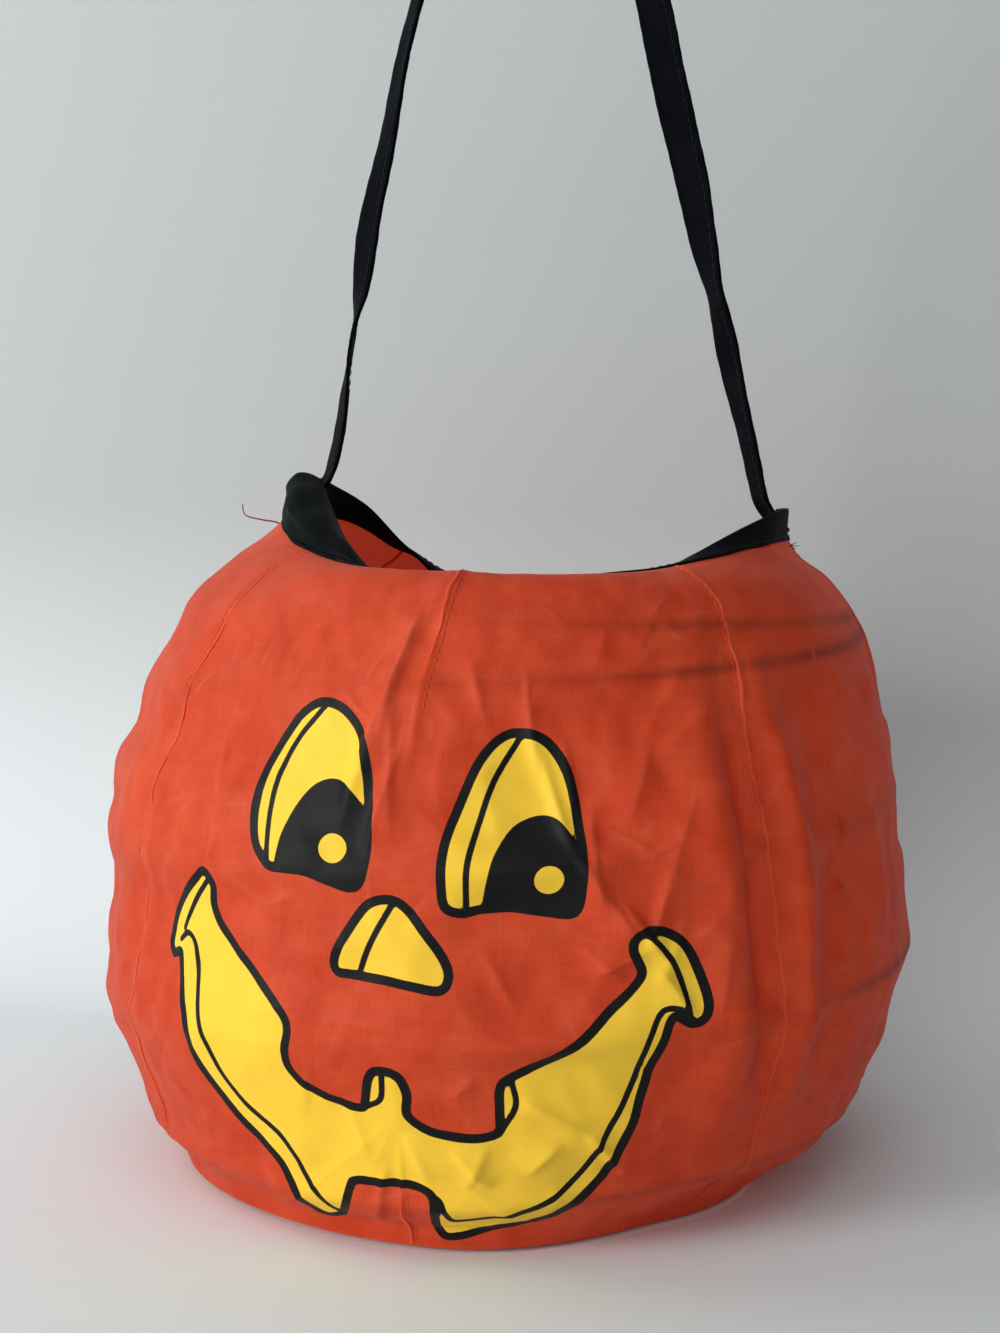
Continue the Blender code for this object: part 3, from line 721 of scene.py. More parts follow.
# Shared shader parts
def feed(tree, inputs, values):
    # each value is another node's output, which is linked, or a number or colour for the socket itself
    for key, value in values.items():
        if isinstance(value, bpy.types.NodeSocket):
            tree.links.new(value, inputs[key])
        elif inputs[key].type == "RGBA":
            inputs[key].default_value = (*value, 1)
        else:
            inputs[key].default_value = value


def addNode(tree, kind, values=None, **settings):
    made = tree.nodes.new("ShaderNode" + kind)
    for key, value in settings.items():
        setattr(made, key, value)
    feed(tree, made.inputs, values or {})
    return made


def calc(tree, operation, *terms):
    # one step of arithmetic; MULTIPLY_ADD is a b + c
    return addNode(tree, "Math", dict(enumerate(terms)), operation=operation).outputs[0]


def newGroup(name, size):
    # a group with a vector, one named number and one value that comes out
    group = bpy.data.node_groups.new(name, "ShaderNodeTree")
    group.interface.new_socket(name="Vector", in_out="INPUT", socket_type="NodeSocketVector")
    if size:
        group.interface.new_socket(name=size, in_out="INPUT", socket_type="NodeSocketFloat")
    group.interface.new_socket(name="Value", in_out="OUTPUT", socket_type="NodeSocketFloat")
    return group, group.nodes.new("NodeGroupInput").outputs, group.nodes.new("NodeGroupOutput").inputs


def weaveGroup():
    # plain weave: 0.5 + 0.5 sin(pi x / pitch) sin(pi y / pitch), threads that pass over and under each other
    group, given, result = newGroup("plainWeave", "Pitch")
    split = addNode(group, "SeparateXYZ", {0: given["Vector"]})
    turns = calc(group, "DIVIDE", math.pi / mm, given["Pitch"])
    waves = [calc(group, "SINE", calc(group, "MULTIPLY", split.outputs[k], turns)) for k in (0, 1)]
    feed(group, result, {"Value": calc(group, "MULTIPLY_ADD", calc(group, "MULTIPLY", *waves), 0.5, 0.5)})
    return group


def streakGroup():
    # uneven yarns: noise drawn long along the cloth, and again across it, then averaged
    group, given, result = newGroup("yarnStreaks", None)
    values = []
    for stretch in ((1.0, 0.08, 1.0), (0.08, 1.0, 1.0)):
        factors = {0: given["Vector"], 1: [s / mm for s in stretch]}
        scaled = addNode(group, "VectorMath", factors, operation="MULTIPLY")
        noise = {"Vector": scaled.outputs[0], "Scale": 1.1, "Detail": 2.0, "Roughness": 0.6}
        values.append(addNode(group, "TexNoise", noise).outputs[0])
    feed(group, result, {"Value": calc(group, "MULTIPLY", calc(group, "ADD", *values), 0.5)})
    return group


def mottleGroup():
    # broad unevenness of handled cloth: the average of two sizes of noise
    group, given, result = newGroup("handledMottle", "Size")
    values = []
    for share, detail in ((1.0, 3.0), (4.5, 4.0)):
        scale = calc(group, "MULTIPLY", given["Size"], share)
        noise = {"Vector": given["Vector"], "Scale": scale, "Detail": detail, "Roughness": 0.55}
        values.append(addNode(group, "TexNoise", noise).outputs[0])
    feed(group, result, {"Value": calc(group, "MULTIPLY", calc(group, "ADD", *values), 0.5)})
    return group


weave = weaveGroup()
streaks = streakGroup()
mottle = mottleGroup()


def useGroup(tree, group, vector, **values):
    return addNode(tree, "Group", {"Vector": vector, **values}, node_tree=group).outputs[0]


def shades(tree, factor, stops):
    # colours at places along a ramp
    ramp = addNode(tree, "ValToRGB", {0: factor})
    points = ramp.color_ramp.elements
    while len(points) < len(stops):
        points.new(0.5)
    for point, (at, colour) in zip(points, stops):
        point.position = at
        point.color = (*colour, 1)
    return ramp.outputs[0]


def mixColours(tree, factor, a, b, blend="MIX"):
    # a (1 - factor) + b factor, or a times b by that share; sockets 0, 6 and 7 are the ones for colours
    return addNode(tree, "Mix", {0: factor, 6: a, 7: b}, data_type="RGBA", blend_type=blend).outputs[2]


def mixShaders(tree, factor, a, b):
    return addNode(tree, "MixShader", {0: factor, 1: a, 2: b}).outputs[0]


def bumped(tree, height, strength, distance, before=None):
    values = {"Height": height, "Strength": strength, "Distance": distance}
    if before is not None:
        values["Normal"] = before
    return addNode(tree, "Bump", values).outputs[0]


def pointValue(tree, name):
    return addNode(tree, "Attribute", attribute_name=name).outputs["Fac"]


def ownMap(tree):
    return addNode(tree, "UVMap", uv_map="clothMap").outputs["UV"]


def newMaterial(name):
    # a material with its nodes, its main shader and the object's own coordinates
    material = bpy.data.materials.new(name)
    material.use_nodes = True
    tree = material.node_tree
    return material, tree, tree.nodes["Principled BSDF"], addNode(tree, "TexCoord").outputs["Object"]


# Finishes: what a user would change first. Each holds the plain values where it names no others
plain = {"grain": 0.60, "roughness": 0.55, "sheen": 0.05, "shine": 0.20, "threadPitch": 0.42, "bump": 0.35,
         "byMap": True, "sheer": False, "printed": False}
asThread = {**plain, "threadPitch": 0.12, "bump": 0.5, "byMap": False}
asTape = {**plain, "roughness": 0.62, "sheen": 0.0, "threadPitch": 0.50, "bump": 0.6}
finishes = {
    "cloth": {**plain, "name": "orangeCloth", "slot": "orange_cloth", "sheer": True, "grain": 0.50,
              "colour": (0.735, 0.080, 0.024), "pale": (0.81, 0.108, 0.038), "deep": (0.65, 0.060, 0.015),
              # the dark wire colour on the next line is the painted shadow of the wire on the cloth
              # the paler colour and its share on the next line paint a highlight along crease crests
              "wire": (0.085, 0.012, 0.008), "crestHighlight": (0.90, 0.26, 0.15), "crestHighlightShare": 0.40,
              "through": (0.85, 0.055, 0.009), "throughShare": 0.28,
              "clear": (1.0, 0.62, 0.50), "clearShare": 0.03},
    # the seams' colours are a little darker than the cloth's: painted shade along the seams, tucks and base
    # roll
    "seam": {**plain, "name": "shadedOrangeSeam", "slot": "orange_seam",
             "colour": (0.68, 0.068, 0.016), "pale": (0.76, 0.092, 0.026), "deep": (0.56, 0.046, 0.010)},
    "thread": {**asThread, "name": "orangeThread", "slot": "orange_thread", "sheen": 0.10, "shine": 0.25,
               "colour": (0.74, 0.080, 0.024), "pale": (0.80, 0.115, 0.040), "deep": (0.62, 0.056, 0.014)},
    "loose": {**asThread, "name": "looseThread", "slot": "orange_thread",
              "colour": (0.30, 0.022, 0.014), "pale": (0.42, 0.050, 0.030), "deep": (0.16, 0.012, 0.010)},
    "binding": {**asTape, "name": "blackBinding", "slot": "black_binding", "shine": 0.04,
                "colour": (0.0032, 0.0046, 0.0054), "pale": (0.0058, 0.0078, 0.0090),
                "deep": (0.0016, 0.0024, 0.0028)},
    "strap": {**asTape, "name": "blackStrap", "slot": "black_strap", "shine": 0.03,
              "colour": (0.0016, 0.0020, 0.0042), "pale": (0.0036, 0.0044, 0.0080),
              "deep": (0.0008, 0.0010, 0.0020)},
    "blackThread": {**asThread, "name": "blackThread", "slot": "black_thread", "sheen": 0.02, "shine": 0.25,
                    "colour": (0.0030, 0.0036, 0.0046), "pale": (0.0060, 0.0072, 0.0090),
                    "deep": (0.0014, 0.0016, 0.0022)},
}
finishes["printed"] = {**finishes["cloth"], "name": "printedCloth", "printed": True}
inks = {
    "yellow": (0.94, 0.61, 0.042),
    "black": (0.0018, 0.0016, 0.0016),
    "rubbed": (0.78, 0.40, 0.030),
    "edge": 0.16,
    "uneven": 0.25,
    "roughness": 0.56,
    "blocks": 0.94,
}
surface = {
    "patchSize": 28.0,
    "patches": (0.36, 0.50, 0.66),
    "yarns": ((0.38, (0.84, 0.82, 0.80)), (0.50, (1.0, 1.0, 1.0)), (0.62, (1.10, 1.16, 1.20))),
    "threadShade": 0.16,
    "roughSpread": 0.16,
    "sheenRoughness": 0.45,
    "wireShade": 0.62,
    "wireShadow": 0.85,
    "threadDepth": 0.00006,
    "yarnDepth": 0.00012,
    "yarnBump": 0.7,
}


def printOver(tree, colour, rough, yarn, threads):
    # ink as 0.5 - distance / edge, between 0 and 1; the edge follows the threads a little
    masks = []
    for name in ("inkYellow", "inkBlack"):
        stray = calc(tree, "MULTIPLY", calc(tree, "SUBTRACT", yarn, 0.5), inks["uneven"])
        distance = calc(tree, "ADD", pointValue(tree, name), stray)
        mask = calc(tree, "MULTIPLY_ADD", distance, -1 / inks["edge"], 0.5)
        mask.node.use_clamp = True
        masks.append(mask)
    yellow = mixColours(tree, calc(tree, "MULTIPLY", threads, 0.06), inks["yellow"], colour)
    yellow = mixColours(tree, calc(tree, "MULTIPLY", yarn, 0.10), yellow, inks["rubbed"])
    coloured = mixColours(tree, masks[0], colour, yellow)
    coloured = mixColours(tree, masks[1], coloured, inks["black"])
    ink = calc(tree, "MAXIMUM", *masks)
    rough = calc(tree, "MULTIPLY_ADD", calc(tree, "MULTIPLY", ink, ink), inks["roughness"] - 0.55, rough)
    return ink, coloured, rough


def clothMaterial(finish):
    # woven cloth or thread; sheer cloth also lets a share of the light through
    material, tree, shader, place = newMaterial(finish["name"])
    along = ownMap(tree) if finish["byMap"] else place
    yarn = useGroup(tree, streaks, along)
    patch = useGroup(tree, mottle, place, Size=surface["patchSize"])
    threads = useGroup(tree, weave, along, Pitch=finish["threadPitch"])
    tones = (finish["deep"], finish["colour"], finish["pale"])
    colour = shades(tree, patch, list(zip(surface["patches"], tones)))
    colour = mixColours(tree, finish["grain"], colour, shades(tree, yarn, surface["yarns"]), "MULTIPLY")
    colour = mixColours(tree, calc(tree, "MULTIPLY", threads, surface["threadShade"]), colour, finish["deep"])
    if finish["sheer"]:
        # painted highlight: a paler colour along crease crests, where the crest field is high
        crestHighlight = calc(tree, "MULTIPLY", pointValue(tree, "crest"), calc(tree, "MULTIPLY", yarn, finish["crestHighlightShare"]))
        colour = mixColours(tree, crestHighlight, colour, finish["crestHighlight"])
        # painted shadow: a dark line along the wire where it lies against the cloth
        wireShadowHere = pointValue(tree, "wireShadowMask")
        colour = mixColours(tree, calc(tree, "MULTIPLY", wireShadowHere, surface["wireShade"]), colour, finish["wire"])
    spread = surface["roughSpread"]
    rough = calc(tree, "MULTIPLY_ADD", yarn, spread, finish["roughness"] - spread / 2)
    if finish["printed"]:
        ink, colour, rough = printOver(tree, colour, rough, yarn, threads)
    fine = bumped(tree, threads, finish["bump"], surface["threadDepth"])
    normal = bumped(tree, yarn, finish["bump"] * surface["yarnBump"], surface["yarnDepth"], fine)
    feed(tree, shader.inputs, {"Base Color": colour, "Roughness": rough, "Normal": normal,
                               "Sheen Weight": finish["sheen"], "Sheen Roughness": surface["sheenRoughness"],
                               "Specular IOR Level": finish["shine"]})
    if not finish["sheer"]:
        return material
    # the same painted shadow also darkens the light let through the cloth
    shadow = calc(tree, "MULTIPLY", wireShadowHere, surface["wireShadow"])
    through = mixColours(tree, shadow, finish["through"], finish["wire"])
    share, clearShare = finish["throughShare"], finish["clearShare"]
    if finish["printed"]:
        through = mixColours(tree, ink, through, colour)
        share = calc(tree, "MULTIPLY_ADD", ink, -inks["blocks"] * share, share)
        clearShare = calc(tree, "MULTIPLY_ADD", ink, -clearShare, clearShare)
    glow = addNode(tree, "BsdfTranslucent", {"Color": through, "Normal": normal}).outputs[0]
    clear = addNode(tree, "BsdfTransparent", {"Color": finish["clear"]}).outputs[0]
    solid = mixShaders(tree, share, shader.outputs[0], glow)
    feed(tree, tree.nodes["Material Output"].inputs, {"Surface": mixShaders(tree, clearShare, solid, clear)})
    return material


metal = {"slot": "spring_wire", "size": 60.0,
         "shades": ((0.35, (0.16, 0.155, 0.15)), (0.65, (0.36, 0.36, 0.37))),
         "roughness": 0.22, "spread": 0.3, "bump": 0.2, "depth": 0.00005}
plastic = {"slot": "wire_cap", "size": 220.0,
           "shades": ((0.35, (0.008, 0.008, 0.008)), (0.65, (0.020, 0.020, 0.021))),
           "roughness": 0.42, "grain": 2500.0, "bump": 0.25, "depth": 0.00005}


def wireMaterial():
    # drawn steel: streaks along the wire
    material, tree, shader, place = newMaterial("springWire")
    drawn = useGroup(tree, streaks, ownMap(tree))
    colour = shades(tree, useGroup(tree, mottle, place, Size=metal["size"]), metal["shades"])
    rough = calc(tree, "MULTIPLY_ADD", drawn, metal["spread"], metal["roughness"])
    feed(tree, shader.inputs, {"Base Color": colour, "Roughness": rough, "Metallic": 1.0,
                               "Normal": bumped(tree, drawn, metal["bump"], metal["depth"])})
    return material


def plasticMaterial():
    # dark moulded plastic with a fine grain
    material, tree, shader, place = newMaterial("wireCap")
    grain = addNode(tree, "TexNoise", {"Vector": place, "Scale": plastic["grain"], "Detail": 3.0}).outputs[0]
    colour = shades(tree, useGroup(tree, mottle, place, Size=plastic["size"]), plastic["shades"])
    feed(tree, shader.inputs, {"Base Color": colour, "Roughness": plastic["roughness"],
                               "Normal": bumped(tree, grain, plastic["bump"], plastic["depth"])})
    return material


looks = {look: clothMaterial(finish) for look, finish in finishes.items()}
looks.update({"wire": wireMaterial(), "cap": plasticMaterial()})
slots = {look: finish["slot"] for look, finish in finishes.items()}
slots.update({"wire": metal["slot"], "cap": plastic["slot"]})
print("materials made:", len(looks))


def addPiece(name, look, shape, nodes=(), values=None):
    # shape holds points and faces, and where there are any the end faces and the map
    points, faces, *rest = shape
    obj = makePiece(name, points, faces, looks[look], *rest, values=values)
    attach(obj, "basket")
    if nodes:
        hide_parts(*nodes)
    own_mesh(obj)
    return obj


# The printed face: a traditional carved-lantern face drawn for this basket. Each line is x, y, x, y and so on
# in mm, with x round the wall from the front middle and y the height; a corner is a point given twice
faceLines = {"outline": 1.30, "inner": 0.85, "reach": 4.0, "samples": 8, "rows": 350}
features = {
    "leftEye": {
        "outline": (-43.2, 106.1, -45.6, 107.4, -49, 111.5, -50, 118, -49, 127, -46, 136.5, -40, 145.5,
            -33.5, 149.3, -26, 147.5, -19.5, 140.5, -16.5, 131, -15, 120, -15.2, 111, -16.5, 104.5,
            -19.5, 102.5, -26, 104, -32.5, 105.8, -38.5, 106),
        "inner": ((-32.5, 148, -39.5, 139.5, -43.8, 129.5, -45, 119, -45.2, 112, -44.4, 106.5),),
        "pupil": (-42, 106, -42, 106, -40.6, 114.3, -37, 122, -33, 127.5, -27.2, 129.8, -21.9, 128.2,
            -15.5, 122, -15.5, 122, -10, 110, -10, 98, -42, 98),
        "dot": (-24.8, 112.3, 3.9),
    },
    "rightEye": {
        "outline": (6.5, 99, 5.4, 104.5, 5.5, 114.5, 8.4, 126, 12.3, 137, 17, 142.8, 22, 144, 29, 141.8,
            35, 135, 39, 125.5, 41.5, 115.5, 42, 106, 41.5, 99.5, 39, 97.6, 31.5, 98.2, 24, 99, 16, 98.5,
            10.8, 97.4),
        "inner": ((22, 143.5, 16.5, 132, 13.8, 120.5, 12, 110.5, 11.9, 99),),
        "pupil": (15.5, 97, 15.5, 97, 17.2, 106.7, 19.2, 114.3, 23.3, 120.8, 29.5, 123.6, 34.8, 122.3,
            41, 116, 41, 116, 47, 108, 47, 92, 15.5, 92),
        "dot": (33.4, 106.8, 3.9),
    },
    "nose": {
        "outline": (-22.9, 80.1, -23.2, 84, -18.7, 92.5, -14.2, 98.5, -8.8, 100.2, -4.3, 98.6, 1, 92.6,
            6.4, 85.2, 7.8, 80.4, 5.5, 77.2, -2.2, 78.1, -9.8, 79.1, -18.6, 79.6),
        "inner": ((-7.6, 99, -13, 88.7, -16.6, 79.5),),
    },
    "grin": {
        "outline": (-67.5, 101.8, -63.8, 98.6, -63.4, 93, -60.5, 87.5, -54, 81.5, -46, 74.5, -38.5, 67.6,
            -36.6, 63, -37.8, 56.7, -36.6, 51.6, -30.2, 46.8, -22.3, 43.8, -17, 42.8, -15.4, 43.6,
            -14.8, 46.1, -13, 53.2, -9.7, 54.6, -5.4, 53.3, -3.2, 48.5, -3.2, 42.6, 2, 38.4, 8.3, 36.8,
            14.6, 36.4, 19.6, 37.3, 21, 38.8, 21.1, 43, 21.5, 50.5, 24.4, 53.6, 34.6, 59.2, 43.6, 65.3,
            50.4, 72, 55.8, 77.4, 58.6, 82.4, 55.9, 88, 56.6, 92, 62, 93.6, 68.5, 90.6, 73.1, 83.4,
            76.4, 75, 76.2, 70, 73, 68.6, 69, 70.6, 67.2, 69.8, 65.5, 64.2, 61.9, 57, 58.9, 48.2,
            55.8, 39.3, 51.6, 31.2, 47, 23.9, 39.2, 16.1, 28.4, 10.9, 17, 8, 8, 5.2, 4, 5.2, 2.4, 9,
            2.9, 14.4, 2.6, 18.2, 0.8, 20.4, -4, 21.6, -14.8, 21.8, -19, 21.2, -20.6, 19.2, -23.9, 10.6,
            -25.6, 8.8, -30.5, 8.2, -35.5, 11.4, -39.6, 17, -43, 22.8, -48.5, 27.4, -55.5, 32.6,
            -62.8, 39.4, -69, 46.8, -73.2, 54.8, -75, 62.8, -76.4, 70.5, -77.2, 76.6, -78.4, 77.6,
            -81.7, 76.6, -83.2, 80.6, -78.5, 91, -71, 99),
        "inner": ((-65.4, 100, -71.8, 92, -76, 84.4), (-77.8, 81, -74, 83.4, -71, 81.3, -70.2, 75,
            -69.4, 68.1, -68, 60, -63.8, 50.4, -57.4, 41.8, -50.8, 36.2, -42.4, 31.2, -37.4, 25.4,
            -34.2, 19.4, -30, 13.8, -25, 9.8), (59, 93, 64.2, 88, 68.8, 80.7, 72.1, 70.4), (73, 69.6,
            68.8, 72.6, 64.6, 72, 62, 66.1, 59.4, 59.3, 56.6, 51.6, 52.7, 44, 48.8, 37, 44.8, 29.9,
            38.4, 22.3, 29.4, 16.2, 17.6, 12.6, 8, 10.8, 5.8, 13.8, 4.4, 17.5, 1.5, 19.6), (-9.7, 53.8,
            -10.4, 46.7, -14.8, 43.4), (24.5, 53, 25.4, 45.8, 21.5, 38.4)),
    },
}


def alongFront(height):
    # length along the cloth from the base, at a height on the front's middle
    rows = slice(faceLines["rows"])
    return np.interp(height, clothHeight[frontColumn, rows], clothAlong[frontColumn, rows])


def drawnLine(points, closed):
    # the smooth curve through the points, with heights turned into lengths along the cloth
    k = np.reshape(points, (-1, 2)).astype(float)
    k[:, 1] = alongFront(k[:, 1] * mm) / mm
    count = len(k) * faceLines["samples"]
    if not closed:
        return smoothLine(k, count)
    return smoothThrough(np.vstack([k[-2:], k, k[:2]]), 2 + np.arange(count) / faceLines["samples"])


def lineDistance(x, y, line, closed):
    # shortest distance from every point to a line of short straight parts, below nothing inside a closed line
    nearest = np.full(x.shape, 1e9)
    inside = np.zeros(x.shape, bool)
    ends = np.roll(line, -1, axis=0) if closed else line[1:]
    for (ax, ay), (bx, by) in zip(line, ends):
        dx, dy = bx - ax, by - ay
        t = np.clip(((x - ax) * dx + (y - ay) * dy) / (dx * dx + dy * dy + 1e-12), 0, 1)
        nearest = np.minimum(nearest, (x - ax - t * dx) ** 2 + (y - ay - t * dy) ** 2)
        if closed and ay != by:
            inside ^= ((ay > y) != (by > y)) & (x < dx * (y - ay) / dy + ax)
    return np.sqrt(nearest) * np.where(inside, -1, 1)


def drawFace():
    # signed distance in mm to each ink's edge on the cloth grid, below nothing inside the ink:
    # the smaller of two is both inks together, the larger one is where they overlap
    x = (clothAngle + math.pi / 2) * clothRadius / mm
    top = clothHeight[frontColumn, faceLines["rows"] - 1]
    y = np.where(clothHeight < top, alongFront(clothHeight), clothAlong) / mm
    fields = {ink: np.full(x.shape, faceLines["reach"]) for ink in ("inkYellow", "inkBlack")}
    for feature in features.values():
        line = drawnLine(feature["outline"], True)
        low, high = line.min(axis=0) - faceLines["reach"], line.max(axis=0) + faceLines["reach"]
        near = (x > low[0]) & (x < high[0]) & (y > low[1]) & (y < high[1])
        u, v = x[near], y[near]
        within = lineDistance(u, v, line, True)
        black = np.abs(within) - faceLines["outline"]
        for inner in feature["inner"]:
            off = lineDistance(u, v, drawnLine(inner, False), False)
            black = np.minimum(black, np.maximum(off - faceLines["inner"], within))
        if "pupil" in feature:
            pupil = lineDistance(u, v, drawnLine(feature["pupil"], True), True)
            black = np.minimum(black, np.maximum(pupil, within))
            centre = drawnLine(feature["dot"][:2] * 2, False)[0]
            black = np.maximum(black, feature["dot"][2] - np.hypot(u - centre[0], v - centre[1]))
        for ink, edge in (("inkYellow", within), ("inkBlack", black)):
            fields[ink][near] = np.minimum(fields[ink][near], edge)
    return fields


faceInk = drawFace()
print("face drawn:", len(features), "features")

# Cloth panels: a quarter of the folded wall each, meeting at the seams, on all or every other grid point
panels = {"skip": {"front": 1, "right": 2, "back": 2, "left": 2}, "underBinding": 0.006}


def buildPanels():
    # a quarter of the folded wall for each panel, with its map and its values at each point
    quarter = wall["columns"] // 4
    top = int(np.floor((1 - panels["underBinding"] / clothAlong[frontColumn, -1]) * wall["rows"]))
    for name, skip in panels["skip"].items():
        middle = columnAt(panelAngles[name])
        columns = (np.arange(middle - quarter // 2, middle + quarter // 2 + 1) % wall["columns"])[::skip]
        at = np.ix_(columns, np.r_[np.arange(0, top, skip), top])
        # values for the painted light: the wire's painted shadow and the crests' painted highlight
        values = {"wireShadowMask": wireShadowMask[at], "crest": crestHighlights[at]}
        if name == "front":
            values.update({ink: field[at] for ink, field in faceInk.items()})
        uv = np.stack([acrossFrom(panelAngles[name])[at], clothAlong[at]], axis=-1)
        shape = (clothPoints[at], gridFaces(*uv.shape[:2]), (), uv)
        look = "printed" if name == "front" else "cloth"
        piece = addPiece("cloth_" + name, look, shape, [name + "_panel"], values)


buildPanels()


# Stitches: short arched threads set in a row, each a six-sided tube of a few rings
def stitchParts(starts, ends, outs, radius, arch, sides=6, rings=5):
    # middle line: start (1 - t) + end t + out arch sin(pi t); radius times 0.35 + 0.65 sqrt(sin(pi t))
    t = np.linspace(0, 1, rings)
    middle = starts[:, None] * (1 - t)[None, :, None] + ends[:, None] * t[None, :, None]
    middle = middle + outs[:, None] * (arch * np.sin(np.pi * t))[None, :, None]
    way = unit(ends - starts)
    side = unit(np.cross(outs, way))
    up = np.cross(way, side)
    size = radius * (0.35 + 0.65 * np.sin(np.pi * t) ** 0.5)
    across, out = np.moveaxis(size[:, None, None] * ringProfile(1.0, sides)[None], -1, 0)[..., None]
    points = middle[:, :, None] + across[None] * side[:, None, None] + out[None] * up[:, None, None]
    starts = np.arange(len(starts)) * rings * sides
    faces = gridFaces(rings, sides, closeColumns=True)[None] + starts[:, None, None]
    return points.reshape(-1, 3), faces.reshape(-1, 4)


def stitchRow(angles, shares, pitch, length, lift, radius, arch):
    # threads in a row along a line on the cloth, given by angles and shares of the wall's length
    travelled = alongPath(onCloth(angles, shares, np.zeros(len(angles))))
    count = int(travelled[-1] / pitch)
    begin = (np.arange(count) + 0.5) * pitch - length / 2
    marks = np.arange(len(angles))
    places = []
    for at in (begin, begin + length, begin + length / 2):
        k = np.interp(at, travelled, marks)
        places.append((np.interp(k, marks, angles), np.interp(k, marks, shares)))
    starts, ends = [onCloth(*place, np.full(count, lift)) for place in places[:2]]
    return stitchParts(starts, ends, unit(sampleGrid(clothNormals, *places[2])), radius, arch)


# Seams and tucks: pinched folds of the panels' edges, with a row of stitches beside each
seams = {"width": 0.00085, "stand": 0.00022, "sunk": 0.0002, "pinch": 0.10, "stations": 620, "ring": 9,
         "pitch": 0.0026, "stitch": 0.0019, "thread": 0.00012, "arch": 0.00012, "lift": 0.00008,
         "offset": 0.0015, "stitchPoints": 400, "underRim": 0.009,
         "sway": ((0.00025, 0.021), (0.00015, 0.0083))}
darts = {"top": 0.060, "bottom": 0.030, "width": 0.00075, "stand": 0.00020, "stations": 160,
         "stitchPoints": 120, "point": 0.15, "growTop": 1.6, "growBottom": 1.8}


def foldLine(angle, shareLow, shareHigh, stations, width, stand, taper=None):
    # a narrow ridge carried up the wall: (width cos a (0.8 + 0.2 sin a), stand sin^0.8 a), pinched at every
    # stitch and swaying a little
    shares = np.linspace(shareLow, shareHigh, stations)
    angles = np.full(stations, angle)
    at = onCloth(angles, shares, np.full(stations, -seams["sunk"]))
    way = unit(np.gradient(at, axis=0))
    side = unit(np.cross(way, unit(sampleGrid(clothNormals, angles, shares))))
    travelled = alongPath(at)
    pinch = 1 - seams["pinch"] * np.abs(np.sin(np.pi * travelled / seams["pitch"]))
    sway = sum(swing * np.sin(tau * travelled / wave) for swing, wave in seams["sway"])
    size = np.ones(stations) if taper is None else taper(np.linspace(0, 1, stations))
    a = np.linspace(0, math.pi, seams["ring"])
    ridge = np.stack([np.cos(a) * (0.8 + 0.2 * np.sin(a)), np.sin(a) ** 0.8], axis=1)
    wide = width * size * (0.9 + 0.2 * (1 - pinch))
    scale = np.stack([wide, (stand + seams["sunk"]) * size * pinch], axis=1)
    profile = ridge[None] * scale[:, None] + np.stack([sway * size, 0 * sway], axis=1)[:, None]
    points = sweep(at, side, np.cross(side, way), profile)
    faces = gridFaces(stations, seams["ring"], closeColumns=True)
    return points, faces, capFaces(stations, seams["ring"]), flatMap(a * 0.0004, travelled)


def sewBeside(name, angle, low, high, count, side):
    # the row of stitches at one side of a fold
    shares = np.linspace(low, high, count)
    beside = angle + side * seams["offset"] / sampleGrid(clothRadius, np.full(count, angle), shares)
    sizes = (seams[key] for key in ("pitch", "stitch", "lift", "thread", "arch"))
    addPiece("stitches_" + name, "thread", stitchRow(beside, shares, *sizes))


def buildSeams():
    for name, degrees in seamAngles.items():
        angle = math.radians(degrees)
        top = shareFromRim(np.array([angle]), seams["underRim"])[0]
        ridge = foldLine(angle, 0.002, top, seams["stations"], seams["width"], seams["stand"])
        addPiece("fold_" + name, "seam", ridge, ["seam_" + name])
        sewBeside(name, angle, 0.02, top - 0.01, seams["stitchPoints"], -1)


def buildDarts():
    # each tuck grows from a point, top ones upward and bottom ones downward
    def grown(way):
        # point + (1 - point) way
        return darts["point"] + (1 - darts["point"]) * np.clip(way, 0, 1)

    for name, degrees in panelAngles.items():
        angle = math.radians(degrees)
        below = (seams["underRim"], seams["underRim"] + darts["top"], darts["bottom"])
        rim, foot, drop = (shareFromRim(np.array([angle]), distance)[0] for distance in below)
        runs = (("top", foot, rim, lambda t: grown(t * darts["growTop"])),
                ("bottom", 0.002, 1 - drop, lambda t: grown((1 - t) * darts["growBottom"])))
        for end, low, high, taper in runs:
            label = "%s_%s" % (end, name)
            ridge = foldLine(angle, low, high, darts["stations"], darts["width"], darts["stand"], taper)
            addPiece("tuck_" + label, "seam", ridge, ["dart_" + label])
            sewBeside(label, angle, low + 0.01, high - 0.005, darts["stitchPoints"], 1)


buildSeams()
buildDarts()
print("panels, seams and tucks sewn")

# Base: a round of cloth, and the rolled seam that joins it to the wall
base = {"radius": 0.0888, "floor": 0.00035, "wave": 0.00035, "most": 0.0012, "rings": 60, "spokes": 360,
        "waves": (12, 0.012, 0.05), "waveWidth": 0.42, "flatFrom": 0.97,
        "roll": 0.0010, "tucked": 0.0024, "stations": 720, "sides": 12, "round": 0.0895,
        "lump": 0.10, "uneven": 0.12, "unevenTimes": 23}


